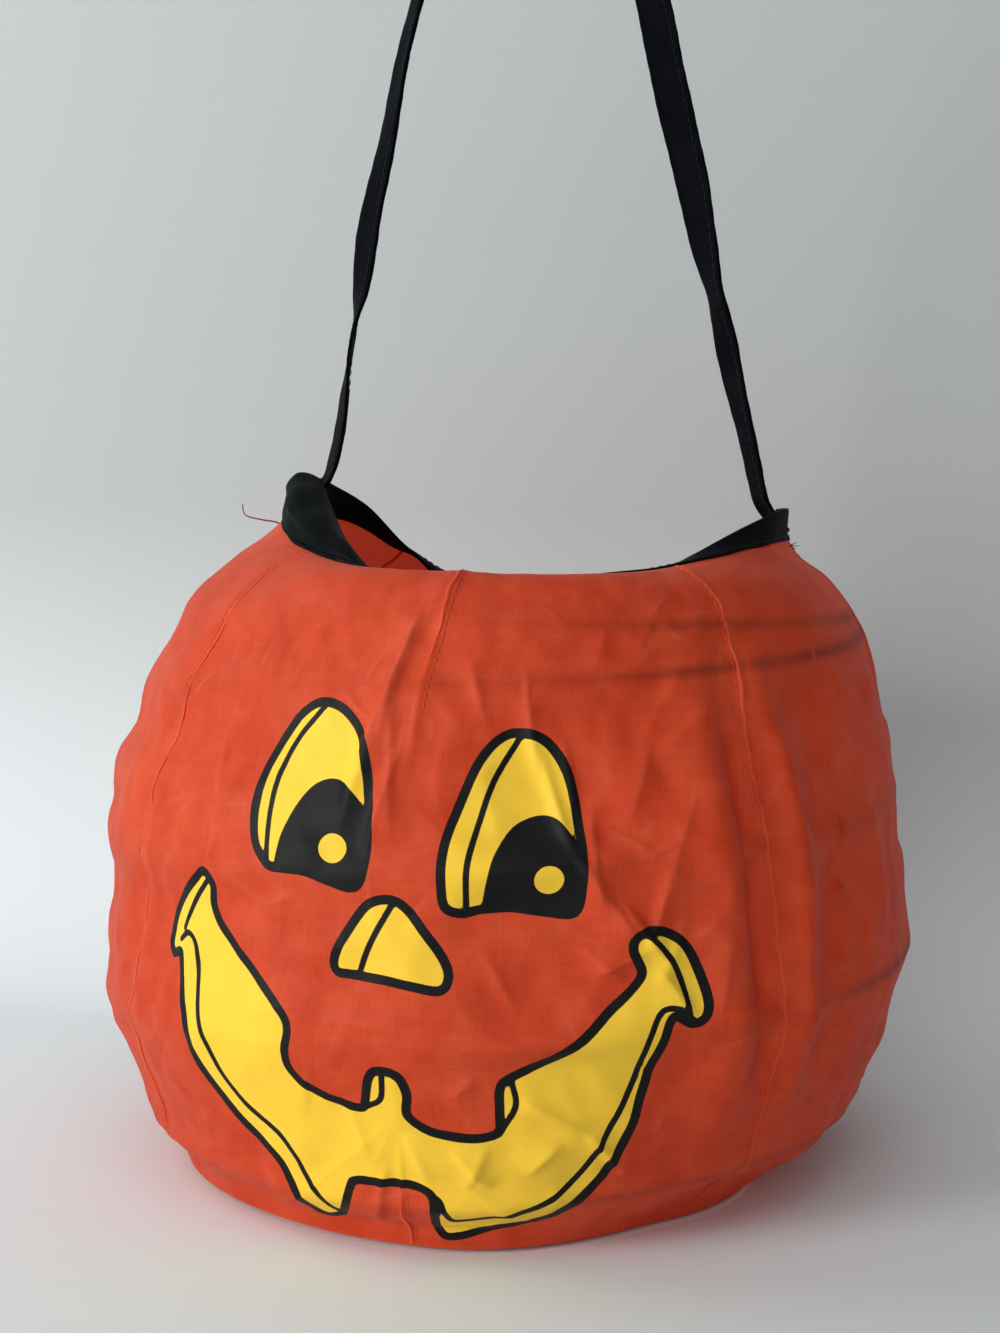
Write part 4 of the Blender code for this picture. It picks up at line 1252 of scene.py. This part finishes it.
def buildBase():
    # disc height: floor + wave (1 + soft waves) bell; the roll swells between its stitches
    spread = np.linspace(0.0004, 1, base["rings"])[:, None]
    around = (np.arange(base["spokes"]) * tau / base["spokes"])[None]
    reach = (base["radius"] + ownOut(around, 0.0)) * spread
    x, y = reach * np.cos(around), reach * np.sin(around)
    rise = base["wave"] * (1 + softWaves(x, y, *base["waves"], 41)) * bell(spread - 0.5, base["waveWidth"])
    rise = rise * (spread < base["flatFrom"])
    points = np.stack([x, y, base["floor"] + np.clip(rise, 0, base["most"]) + 0 * x], axis=-1)
    faces = gridFaces(base["rings"], base["spokes"], closeColumns=True)[:, ::-1]
    disc = (points, faces, [list(range(base["spokes"]))], points[..., :2])
    # the base has no painted wire shadow and no painted crest highlight
    addPiece("cloth_base", "cloth", disc, ["base_panel"], {"wireShadowMask": 0 * x, "crest": 0 * x})
    n, sides = base["stations"], base["sides"]
    angles = np.arange(n) * tau / n - math.pi
    travelled = angles * base["round"]
    lumps = 1 + base["lump"] * np.abs(np.sin(travelled / seams["pitch"] * math.pi))
    lumps = lumps + base["uneven"] * np.sin(angles * base["unevenTimes"])
    out = np.stack([np.cos(angles), np.sin(angles), 0 * angles], axis=1)
    edge = wall["baseRadius"] - base["tucked"] + ownOut(angles, 0.0)
    centre = out * edge[:, None] + np.array([0, 0, base["roll"] * 1.15])
    profile = ringProfile(base["roll"], sides)
    squeezed = profile[None] * np.stack([1.15 * lumps, 0.85 + 0.15 * lumps], axis=1)[:, None]
    points = sweep(centre, out, np.tile([0.0, 0.0, 1.0], (n, 1)), squeezed)
    points[..., 2] = np.maximum(points[..., 2], 0.0)
    roll = (points, gridFaces(n, sides, True, True)[:, ::-1], (), flatMap(profile[:, 0], travelled))
    addPiece("base_roll", "seam", roll, ["base_seam"])


buildBase()

# Spring wire: one unbroken tube that follows the inside of the cloth, its two end caps and its thread loops
caps = {"radius": 0.0017, "tip": 5, "rim": 0.00015, "past": 0.0022, "length": 0.0080, "stations": 24,
        "sides": 20, "inner": 6}
wraps = {"turns": 4, "half": 0.0022, "stations": 97, "gap": 0.00022, "radius": 0.00018, "sides": 6}


def wirePath(turned):
    # the wall's radius at the wire's height, less its place inside and what its two ends turn in
    angle = np.mod(spiral["startAngle"] + turned + math.pi, tau) - math.pi
    height = wireHeight(turned)
    rows = slice(int(0.86 * wall["rows"]))
    share = np.interp(height, plainHeight[0, rows], rowShare[rows])
    radius = sampleGrid(plainRadius, angle, share) - spiral["inside"]
    radius = radius - spiral["topInside"] * (height > spiral["topFrom"])
    fromEnd = np.minimum(turned, spiral["turning"] - turned) * wall["ringRadius"]
    radius = radius - spiral["endIn"] * np.exp(-np.clip(fromEnd, 0, 1) / spiral["endReach"])
    return np.stack([radius * np.cos(angle) + leanAt(height), radius * np.sin(angle), height], axis=1)


def tubeOn(path, outward, radius, sides):
    # rings of the given radius, square to the path
    way = unit(np.gradient(path, axis=0))
    side = unit(np.cross(way, outward))
    profile = ringProfile(1.0, sides)[None] * np.broadcast_to(radius, len(path))[:, None, None]
    points = sweep(path, side, np.cross(side, way), profile)
    uv = flatMap(np.arange(sides) * tau / sides * spiral["radius"], alongPath(path))
    ends = [face[::-1] for face in capFaces(len(path), sides)]
    return points, gridFaces(len(path), sides, closeColumns=True)[:, ::-1], ends, uv


def buildWire():
    # a cap's radius: sqrt(1 - (1 - 5t)^2) at its round tip, a little less past its rim
    path = wirePath(np.linspace(0, spiral["turning"], spiral["steps"]))
    tube = tubeOn(path, levelOut(path), spiral["radius"], spiral["sides"])
    addPiece("spring_wire", "wire", tube, ["spiral_wire"])
    t = np.linspace(0, 1, caps["stations"])
    size = caps["radius"] * np.sqrt(np.clip(1 - np.clip(1 - t * caps["tip"], 0, 1) ** 2, 0.02, 1))
    size = size * (1 - 0.10 * (t > 0.82)) + caps["rim"] * bell(t - 0.80, 0.05)
    step = caps["inner"]
    for name, end, inner in (("bottom", path[0], path[step]), ("top", path[-1], path[-1 - step])):
        way = unit(inner - end)
        line = end - way * caps["past"] + way * (t * caps["length"])[:, None]
        shape = tubeOn(line, np.tile(levelOut(end), (caps["stations"], 1)), size, caps["sides"])
        addPiece("end_cap_" + name, "cap", shape, ["wire_cap_" + name])


def buildTacks():
    # thread wound round the wire at each seam, on its first and its last turn: out cos(loop) + side sin(loop)
    near = sorted((math.radians(a) - spiral["startAngle"]) % tau for a in seamAngles.values())
    reach = spiral["radius"] + wraps["gap"]
    loop = (tau * wraps["turns"] * np.linspace(0, 1, wraps["stations"]))[:, None]
    for number, first in enumerate(near, 1):
        last = first + tau * int((spiral["turning"] - first) / tau)
        for end, turned in (("bottom", first), ("top", last)):
            line = wirePath(turned + np.linspace(-wraps["half"], wraps["half"], wraps["stations"]) / 0.1)
            out = levelOut(line)
            side = unit(np.cross(unit(np.gradient(line, axis=0)), out))
            lift = out * np.cos(loop) + side * np.sin(loop)
            shape = tubeOn(line + lift * reach, lift, wraps["radius"], wraps["sides"])
            label = "%s_%d" % (end, number)
            addPiece("thread_wrap_" + label, "thread", shape, ["wire_tack_" + label])


buildWire()
buildTacks()
print("wire, caps and thread wraps made")

# Bound mouth: a tape folded over the cloth's edge, its cut edges turned under and sewn through
binding = {
    "seat": 0.0030,
    "width": 0.0110,
    "inner": 0.0105,
    "leaf": 0.00045,
    "gap": 0.00018,
    # down the tape, as shares of its width, and how far it stands out there in leaves
    "down": (1.0, 0.985, 0.93, 0.84, 0.70, 0.50, 0.30, 0.14, 0.04),
    "out": (0.10, 0.75, 1.25, 0.80, 0.85, 0.90, 0.90, 0.95, 1.0),
    "round": 0.074,
    "wave": 0.00016,
    "waves": (12, 0.006, 0.022),
    "edgeWave": 0.04,
    "edgeWaves": (8, 0.012, 0.04),
    # at the peaks: how wide the seat for the strap is, and the depth at which it ends
    "seatWidth": 0.105,
    "seatDepth": 0.016,
    "columns": 960,
    "pitch": 0.0028,
    "stitch": 0.0020,
    "sewnUp": 0.0018,
    "thread": 0.00016,
    "arch": 0.00010,
}


def bindingLine():
    # distance below the rim of each profile point, its depth inside the cloth, and how far it is past the rim
    down = np.array(binding["down"])
    reach = binding["leaf"] + binding["gap"]
    lift = np.array(binding["out"]) * binding["leaf"] + binding["gap"]
    outer = np.stack([down * binding["width"], lift, 0 * down], axis=1)
    over = np.linspace(0.15, 0.85, 6) * math.pi
    top = np.stack([0 * over, reach * np.cos(over), 0.0003 + reach * np.sin(over)], axis=1)
    inner = outer[::-1] * np.array([binding["inner"] / binding["width"], -1, 1]) - np.array([0, 0.0002, 0])
    return np.vstack([outer, top, inner])


def buildBinding():
    # the profile carried round the rim; at the peaks its inner leaf stands off so that the strap fits in
    line = bindingLine()
    count, n = len(line), binding["columns"]
    down, out, past = line.T[:, None]
    angle = (-math.pi + np.arange(n) * tau / n)[:, None] + np.zeros((1, count))
    around = angle * binding["round"]
    waves = softWaves(around, around * 0 + np.arange(count)[None] * 0.0011, *binding["waves"], 51)
    edge = 1 + binding["edgeWave"] * softWaves(around, 0 * around, *binding["edgeWaves"], 52)
    lift = out + binding["wave"] * waves * (down > 0.0012)
    atPeak = bell(np.abs(np.abs(angle) - math.pi / 2) - math.pi / 2, binding["seatWidth"])
    inner = np.clip(-out / (binding["leaf"] + binding["gap"]), 0, 1)
    lift = lift - binding["seat"] * atPeak * inner * (1 - down / binding["seatDepth"])
    rim, under = (sampleGrid(smoothPoints, angle[:, 0], np.full(n, share)) for share in (1.0, 0.985))
    points = onCloth(angle, shareFromRim(angle, down * edge), lift)
    points = points + unit(rim - under)[:, None] * past[..., None]
    uv = np.stack(np.broadcast_arrays(alongPath(line[:, :2])[None], around), axis=-1)
    tape = (points, gridFaces(n, count, True, True)[:, ::-1], (), uv)
    addPiece("bound_mouth", "binding", tape, ["mouth_binding"])
    angles = -math.pi + np.linspace(0, tau, 2400)
    reach = binding["gap"] + binding["leaf"] * 0.95
    rows = []
    for width, lift in ((binding["width"], reach), (binding["inner"], -reach - 0.0002)):
        share = shareFromRim(angles, width - binding["sewnUp"])
        arch = math.copysign(binding["arch"], lift)
        pitch, stitch, thread = (binding[key] for key in ("pitch", "stitch", "thread"))
        rows.append(stitchRow(angles, share, pitch, stitch, lift, thread, arch))
    addPiece("stitches_mouth", "blackThread", joinParts(rows))


buildBinding()

# The binding's lapped end: a soft tongue of tape that lies over the rim, from the left peak towards the front
lap = {"from": -177.0, "to": -115.0, "outer": 0.0100, "inner": 0.0125, "stand": 0.0012, "puff": 0.0015,
       "rise": 0.0018, "droop": 0.0045, "thick": 0.0006, "creases": (0.0007, 0.0004), "blur": 1.6,
       "round": 0.077, "columns": 220, "rows": 64, "stitches": 60, "sewn": (0.10, 0.72), "sewnRow": 0.14,
       "thread": 0.00015, "backEnd": 0.10, "frontEnd": 0.45, "crease": (0.0016, 5), "wrinkle": (26, 0.003)}


def buildLap():
    # s runs along the tongue and t across it; both ends are round, the front one more pointed
    s = np.linspace(0, 1, lap["columns"])[:, None]
    t = np.linspace(0, 1, lap["rows"])[None]
    ends = np.clip(1 - np.clip(1 - s / lap["backEnd"], 0, 1) ** 2, 0.001, 1) ** 0.5
    toFront = np.clip((s - (1 - lap["frontEnd"])) / lap["frontEnd"], 0, 1)
    ends = ends * np.clip(1 - toFront**2.2, 0.001, 1) ** 0.7
    outer = lap["outer"] * (0.86 + 0.14 * np.sin(math.pi * s)) * (0.25 + 0.75 * ends)
    inner = lap["inner"] * np.sin(math.pi * np.clip(0.20 + 0.62 * s, 0, 1)) ** 0.8 * ends
    across = -outer + (outer + inner) * t
    angle = np.radians(lap["from"] + (lap["to"] - lap["from"]) * s) + 0 * t
    down, past = np.clip(-across, 0, 1), np.clip(across, 0, 1)
    body = np.sin(math.pi * t) ** 0.6 * ends
    large, small = lap["creases"]
    (wide, slant), (turns, narrow) = lap["crease"], lap["wrinkle"]
    crease = large * np.sin(across / wide + slant * s) * body * (0.4 + 0.6 * np.sin(math.pi * s))
    crease = crease + small * np.sin(s * turns + across / narrow) * body
    lift = lap["stand"] + lap["puff"] * body + crease
    inward = -levelOut(onCloth(angle, np.ones_like(angle), 0 * angle))
    height = lap["rise"] * np.sin(np.clip(past / 0.010, 0, 1) * math.pi * 0.5)
    height = height - lap["droop"] * (past / lap["inner"]) ** 2
    blur = blurMatrix(lap["rows"], lap["blur"], False).T
    sheets = []
    for under in (0.0, lap["thick"]):
        lower = onCloth(angle, shareFromRim(angle, down), lift - under)
        over = onCloth(angle, np.ones_like(angle), (lift - under) * 0.3) + inward * past[..., None]
        over[..., 2] += height + (lift - under) * 0.8
        sheets.append(np.einsum("ijk,jl->ilk", np.where((across > 0)[..., None], over, lower), blur))
    outside, inside = sheets
    points = np.concatenate([outside, inside[:, ::-1]], axis=1)
    uv = np.stack([np.concatenate([across, across[:, ::-1]], axis=1),
                   np.concatenate([angle * lap["round"]] * 2, axis=1)], axis=-1)
    rings = (lap["columns"], 2 * lap["rows"])
    ends = [face[::-1] for face in capFaces(*rings)]
    addPiece("binding_lap", "binding", (points, gridFaces(*rings, closeColumns=True)[:, ::-1], ends, uv))
    # stitches along its lower edge, on the sheet itself
    i = (np.linspace(*lap["sewn"], lap["stitches"]) * (lap["columns"] - 1)).astype(int)
    j = int(lap["sewnRow"] * (lap["rows"] - 1))
    near = outside[i, j]
    way = unit(outside[np.minimum(i + 1, lap["columns"] - 1), j] - near)
    out = -unit(np.cross(way, outside[i, j + 2] - near))
    starts = near + out * 0.0001
    row = stitchParts(starts, starts + way * binding["stitch"] * 0.5, out, lap["thread"], binding["arch"])
    addPiece("stitches_lap", "blackThread", row)


buildLap()

# Strap: one tape folded lengthwise and sewn, twisted as it hangs, with both ends sewn inside the binding
strap = {
    "width": 0.0110,
    "thick": 0.00130,
    "groove": 0.00035,
    "seamAt": 0.0036,
    "stations": 760,
    "samples": 4000,
    "blur": (4.0, 6.0),
    "pitch": 0.0030,
    "stitch": 0.0021,
    "thread": 0.00017,
    "arch": 0.00012,
    # unevenness as a share or a height, and its wave length: the tape's width and thickness,
    # the cup across it and the pucker at its stitches
    "widthWaves": ((0.012, 0.023), (0.008, 0.0061)),
    "thickWave": (0.10, 0.0095, 1.5, 0.018),
    "cup": (0.00035, 0.047),
    "pucker": (0.00012, 0.0012),
    "sewnDepths": (0.0140, 0.0105, 0.0070, 0.0035, 0.0010),
    "inside": (0.0017, 0.0024, 0.0032, 0.0040, 0.0046),
    # free points in mm (across, height), from the left peak over the top to the right peak
    "free": ((-63.4, 206.5), (-61.2, 211.5), (-59.3, 220), (-57.2, 232), (-54.7, 250), (-52.4, 268),
             (-49.8, 287), (-46.8, 303), (-41.5, 330), (-35.6, 358), (-29, 377), (-18, 391), (-6, 398),
             (4, 399.4), (14, 397.2), (25, 389), (33, 375), (38.3, 357), (43.6, 335), (48.3, 316),
             (52.9, 298.7), (56.4, 283), (59.8, 268.5), (64.8, 250), (69.2, 232), (72.3, 219), (75, 209),
             (76.9, 203.4)),
    # twist in degrees at shares of the whole length
    "twistShares": (0, 0.03, 0.06, 0.1, 0.125, 0.14, 0.155, 0.18, 0.21, 0.25, 0.3, 0.4, 0.5, 0.6, 0.7, 0.75,
                    0.8, 0.82, 0.86, 0.9, 0.95, 0.97, 1),
    "twist": (0, 20, 30, 28, 16, 8, 15, 44, 52, 46, 36, 30, 0, -76, -80, -68,
              -45, -24, -42, -30, -26, -24, -8),
    # the upper half of the tape's profile: shares of its half width and of its half thickness
    "upper": ((0.7, 1.02), (0.35, 0.9), (0, 0.92), (-0.4, 0.97), (-0.66, 0.8), (-0.86, 1.02),
             (-0.985, 0.86), (-1, 0.45)),
}
tackBars = {"half": 0.0040, "round": 0.077, "threads": 18, "low": 0.0078, "high": 0.0060, "off": 0.0001,
            "thread": 0.00022, "arch": 0.00016}


def betweenStations(at, travelled, line):
    # points of a line at given distances along it
    return np.stack([np.interp(at, travelled, line[:, k]) for k in range(3)], axis=1)


def strapPath():
    # a smooth curve through the sewn end, the free points and the other sewn end, at even steps
    depths = np.array(strap["sewnDepths"])
    ends = []
    for angle in (-math.pi, 0.0):
        angles = np.full(len(depths), angle)
        ends.append(onCloth(angles, shareFromRim(angles, depths), -np.array(strap["inside"])))
    across, height = np.array(strap["free"]).T * mm
    free = np.stack([across, 0 * across, height], axis=1)
    line = smoothLine(np.vstack([ends[0], free, ends[1][::-1]]), strap["samples"])
    travelled = alongPath(line)
    even = betweenStations(np.linspace(0, travelled[-1], strap["stations"]), travelled, line)
    return blurMatrix(strap["stations"], strap["blur"][0], False) @ even, travelled[-1]


strapLine, strapLength = strapPath()


def strapFrames():
    # the tape's width and thickness: wide = y cos(twist) + face sin(twist), thin = way x wide
    share = np.linspace(0, 1, strap["stations"])
    twist = np.radians(np.interp(share, strap["twistShares"], strap["twist"]))
    twist = blurMatrix(strap["stations"], strap["blur"][1], False) @ twist
    way = unit(np.gradient(strapLine, axis=0))
    face = np.stack([-way[:, 2], 0 * twist, way[:, 0]], axis=1)
    wide = np.array([0.0, 1.0, 0.0]) * np.cos(twist)[:, None] + face * np.sin(twist)[:, None]
    return wide, unit(np.cross(way, wide))


strapWide, strapThin = strapFrames()


def tapeProfile():
    # a folded tape: round at the fold, open at the other edge, with a groove where the two leaves part
    half, thick = strap["width"] / 2, strap["thick"] / 2
    a = np.linspace(-math.pi / 2, math.pi / 2, 7)
    fold = np.stack([half - thick + thick * np.cos(a), thick * np.sin(a)], axis=1)
    upper = np.array(strap["upper"]) * np.array([half, thick])
    notch = np.array([[-half + strap["groove"] * 2, 0.0]])
    return np.vstack([fold, upper, notch, upper[::-1] * np.array([1, -1])])


def onStrap(piece):
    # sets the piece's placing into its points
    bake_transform(piece)


def buildStrap():
    # the profile swells and narrows by sines of the length, is cupped by them, and puckers along its stitches
    profile = tapeProfile()
    n = strap["stations"]
    travelled = np.linspace(0, strapLength, n)
    size = np.ones((n, 1, 2))
    for share, wave in strap["widthWaves"]:
        size[:, 0, 0] += share * np.sin(tau * travelled / wave)
    share, wave, wander, over = strap["thickWave"]
    size[:, 0, 1] += share * np.sin(tau * travelled / wave + wander * np.sin(travelled / over))
    shaped = profile[None] * size
    (cup, cupWave), (pucker, puckerWidth) = strap["cup"], strap["pucker"]
    cupped = (profile[:, 0] / (strap["width"] / 2)) ** 2
    shaped[..., 1] += cup * np.sin(tau * travelled / cupWave)[:, None] * cupped
    sewn = bell(profile[:, 0] + strap["seamAt"], puckerWidth)
    shaped[..., 1] += pucker * np.sin(tau * travelled / strap["pitch"])[:, None] * sewn
    points = sweep(strapLine, strapWide, strapThin, shaped)
    faces = gridFaces(n, len(profile), closeColumns=True)
    tape = makePiece("strap_tape", points, faces, looks["strap"], capFaces(n, len(profile)),
                     flatMap(alongPath(profile), travelled))
    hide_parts("handle_strap", "strap_end_left", "strap_end_right")
    onStrap(tape)
    begin = (np.arange(int(strapLength / strap["pitch"]) - 3) + 1.5) * strap["pitch"]
    rows = []
    for side in (1, -1):
        ends = []
        for at in (begin, begin + strap["stitch"]):
            lines = (strapLine, strapWide, strapThin)
            middle, wide, thin = (betweenStations(at, travelled, line) for line in lines)
            ends.append(middle - wide * strap["seamAt"] + thin * side * (strap["thick"] / 2 * 0.94))
        rows.append(stitchParts(*ends, thin * side, strap["thread"], strap["arch"]))
    onStrap(makePiece("stitches_strap", *joinParts(rows), looks["blackThread"]))


def buildTackBars():
    # a bar of close zigzag threads over each sewn end, inside the mouth and outside
    reach = tackBars["half"] / tackBars["round"]
    steps = np.linspace(-reach, reach, tackBars["threads"] + 1)
    within = -strap["inside"][2] - strap["thick"] / 2 - tackBars["off"]
    for name, angle in (("left", -math.pi), ("right", 0.0)):
        rows = []
        for lift in (within, binding["leaf"] + binding["gap"] + tackBars["off"]):
            ends = []
            for part, depth in ((steps[:-1], tackBars["low"]), (steps[1:], tackBars["high"])):
                share = shareFromRim(angle + part, depth)
                ends.append(onCloth(angle + part, share, np.full(tackBars["threads"], lift)))
            out = levelOut(ends[0]) * (1 if lift > 0 else -1)
            rows.append(stitchParts(*ends, out, tackBars["thread"], tackBars["arch"]))
        addPiece("bar_tack_threads_" + name, "blackThread", joinParts(rows), ["bar_tack_" + name])


buildStrap()
buildTackBars()
print("mouth bound, strap of %.4f m sewn in" % strapLength)

# Loose ends: a thread that has come out of the left seam, and frayed ends at the right peak, in mm
loose = {
    "thread": ((-69.5, -9, 193.5), (-72.5, -10, 194.3), (-76, -10.5, 195.6), (-79.2, -10.5, 196),
               (-82.5, -11, 196.6), (-85.4, -11, 197.4), (-86.4, -11, 199.0), (-86.6, -11, 201.0)),
    "threadRadius": 0.00030,
    # where the frayed ends start, and how far out and up each one reaches
    "frayedFrom": (86.0, 192.2),
    "frayed": ((1.6, 0.9), (2.2, -0.2), (1.2, -1.2)),
    "frayedRadius": 0.00014,
}


def looseThread(name, look, knots, radius):
    # a thin tube through the knots that narrows to 0.6 of its radius
    line = smoothLine(np.array(knots) * mm, 20 * len(knots))
    lift = np.tile([0.0, -1.0, 0.001], (len(line), 1))
    addPiece(name, look, tubeOn(line, lift, radius * np.linspace(1, 0.6, len(line)), 8))


looseThread("loose_thread", "loose", loose["thread"], loose["threadRadius"])
for number, (out, up) in enumerate(loose["frayed"], 1):
    x, z = loose["frayedFrom"]
    looseThread("frayed_end_%d" % number, "blackThread",
                ((x - 0.4, -2, z), (x + 0.2, -2.4, z + up * 0.3), (x + out * 0.6, -2.8, z + up * 0.7),
                 (x + out, -3.0, z + up)), loose["frayedRadius"])

# Room: a pale floor that curves up into the wall behind, and soft daylight from the left
room = {
    # the darker wall and the paler, cooler ground are painted light and shade on the backdrop
    "wall": (0.48, 0.515, 0.51),
    "ground": (0.79, 0.86, 0.88),
    "rise": 5.0,
    "roughness": 0.85,
    "shine": 0.2,
    "floor": -0.0006,
    "wallAt": 0.22,
    "bend": 0.12,
    "half": 2.2,
    "near": -1.6,
    "high": 1.8,
}
lights = {
    "key": {"place": (-1.10, -1.05, 0.40), "size": 0.55, "power": 14.9, "colour": (1.0, 0.985, 0.965)},
    "front": {"place": (-0.05, -1.50, 0.55), "size": 0.9, "power": 5.4, "colour": (1.0, 0.985, 0.97)},
    "window": {"place": (-0.75, -0.10, 0.80), "size": 0.5, "power": 2.0, "colour": (0.96, 0.99, 1.0)},
    "fill": {"place": (0.1, -0.9, 1.9), "size": 1.2, "power": 6.5, "colour": (0.96, 0.98, 1.0)},
}
lightAim = (0, 0, 0.14)
worldLight = {"colour": (0.92, 0.96, 1.0), "strength": 0.08, "seen": (0.60, 0.63, 0.63)}


def roomPaint():
    # from ground to wall colour over a fifth of a metre: the paler, cooler floor and the darker wall are
    # painted light and shade; clear from behind to show the basket's back
    material, tree, shader, place = newMaterial("roomPaint")
    rise = calc(tree, "MULTIPLY", addNode(tree, "SeparateXYZ", {0: place}).outputs[2], room["rise"])
    colour = shades(tree, rise, [(0.0, room["ground"]), (1.0, room["wall"])])
    feed(tree, shader.inputs, {"Base Color": colour, "Roughness": room["roughness"],
                               "Specular IOR Level": room["shine"]})
    behind = addNode(tree, "NewGeometry").outputs["Backfacing"]
    both = mixShaders(tree, behind, shader.outputs[0], addNode(tree, "BsdfTransparent").outputs[0])
    feed(tree, tree.nodes["Material Output"].inputs, {"Surface": both})
    return material


def buildRoom():
    # a line from the near edge over a quarter circle up the wall, drawn out sideways
    a = np.linspace(0, math.pi / 2, 24)
    bendY = room["wallAt"] - room["bend"] + room["bend"] * np.sin(a)
    bendZ = room["floor"] + room["bend"] - room["bend"] * np.cos(a)
    bend = np.stack([bendY, bendZ], axis=1)
    line = np.vstack([[room["near"], room["floor"]], bend, [room["wallAt"], room["high"]]])
    x = np.array([-room["half"], room["half"]])
    points = np.stack(np.broadcast_arrays(x[None], line[:, :1], line[:, 1:]), axis=-1)
    return makePiece("room", points, gridFaces(len(line), 2), roomPaint())


def buildLights():
    made = []
    for name, light in lights.items():
        data = bpy.data.lights.new(name, "AREA")
        data.energy = light["power"]
        data.size = light["size"]
        data.color = light["colour"]
        obj = addObject(name, data)
        obj.location = light["place"]
        aim = Vector(lightAim) - Vector(light["place"])
        obj.rotation_mode = "QUATERNION"
        obj.rotation_quaternion = aim.to_track_quat("-Z", "Y")
        made.append(obj)
    return made


def buildWorld():
    # dim daylight all round; past the floor and the wall the camera sees a pale grey like theirs
    world = bpy.data.worlds.new("daylight")
    world.use_nodes = True
    tree = world.node_tree
    background = tree.nodes["Background"]
    feed(tree, background.inputs, {"Color": worldLight["colour"], "Strength": worldLight["strength"]})
    seen = addNode(tree, "Background", {"Color": worldLight["seen"]})
    byCamera = addNode(tree, "LightPath").outputs["Is Camera Ray"]
    both = mixShaders(tree, byCamera, background.outputs[0], seen.outputs[0])
    feed(tree, tree.nodes["World Output"].inputs, {"Surface": both})
    bpy.context.scene.world = world


buildRoom()
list(buildLights())
buildWorld()
bpy.context.scene.view_settings.view_transform = "Standard"
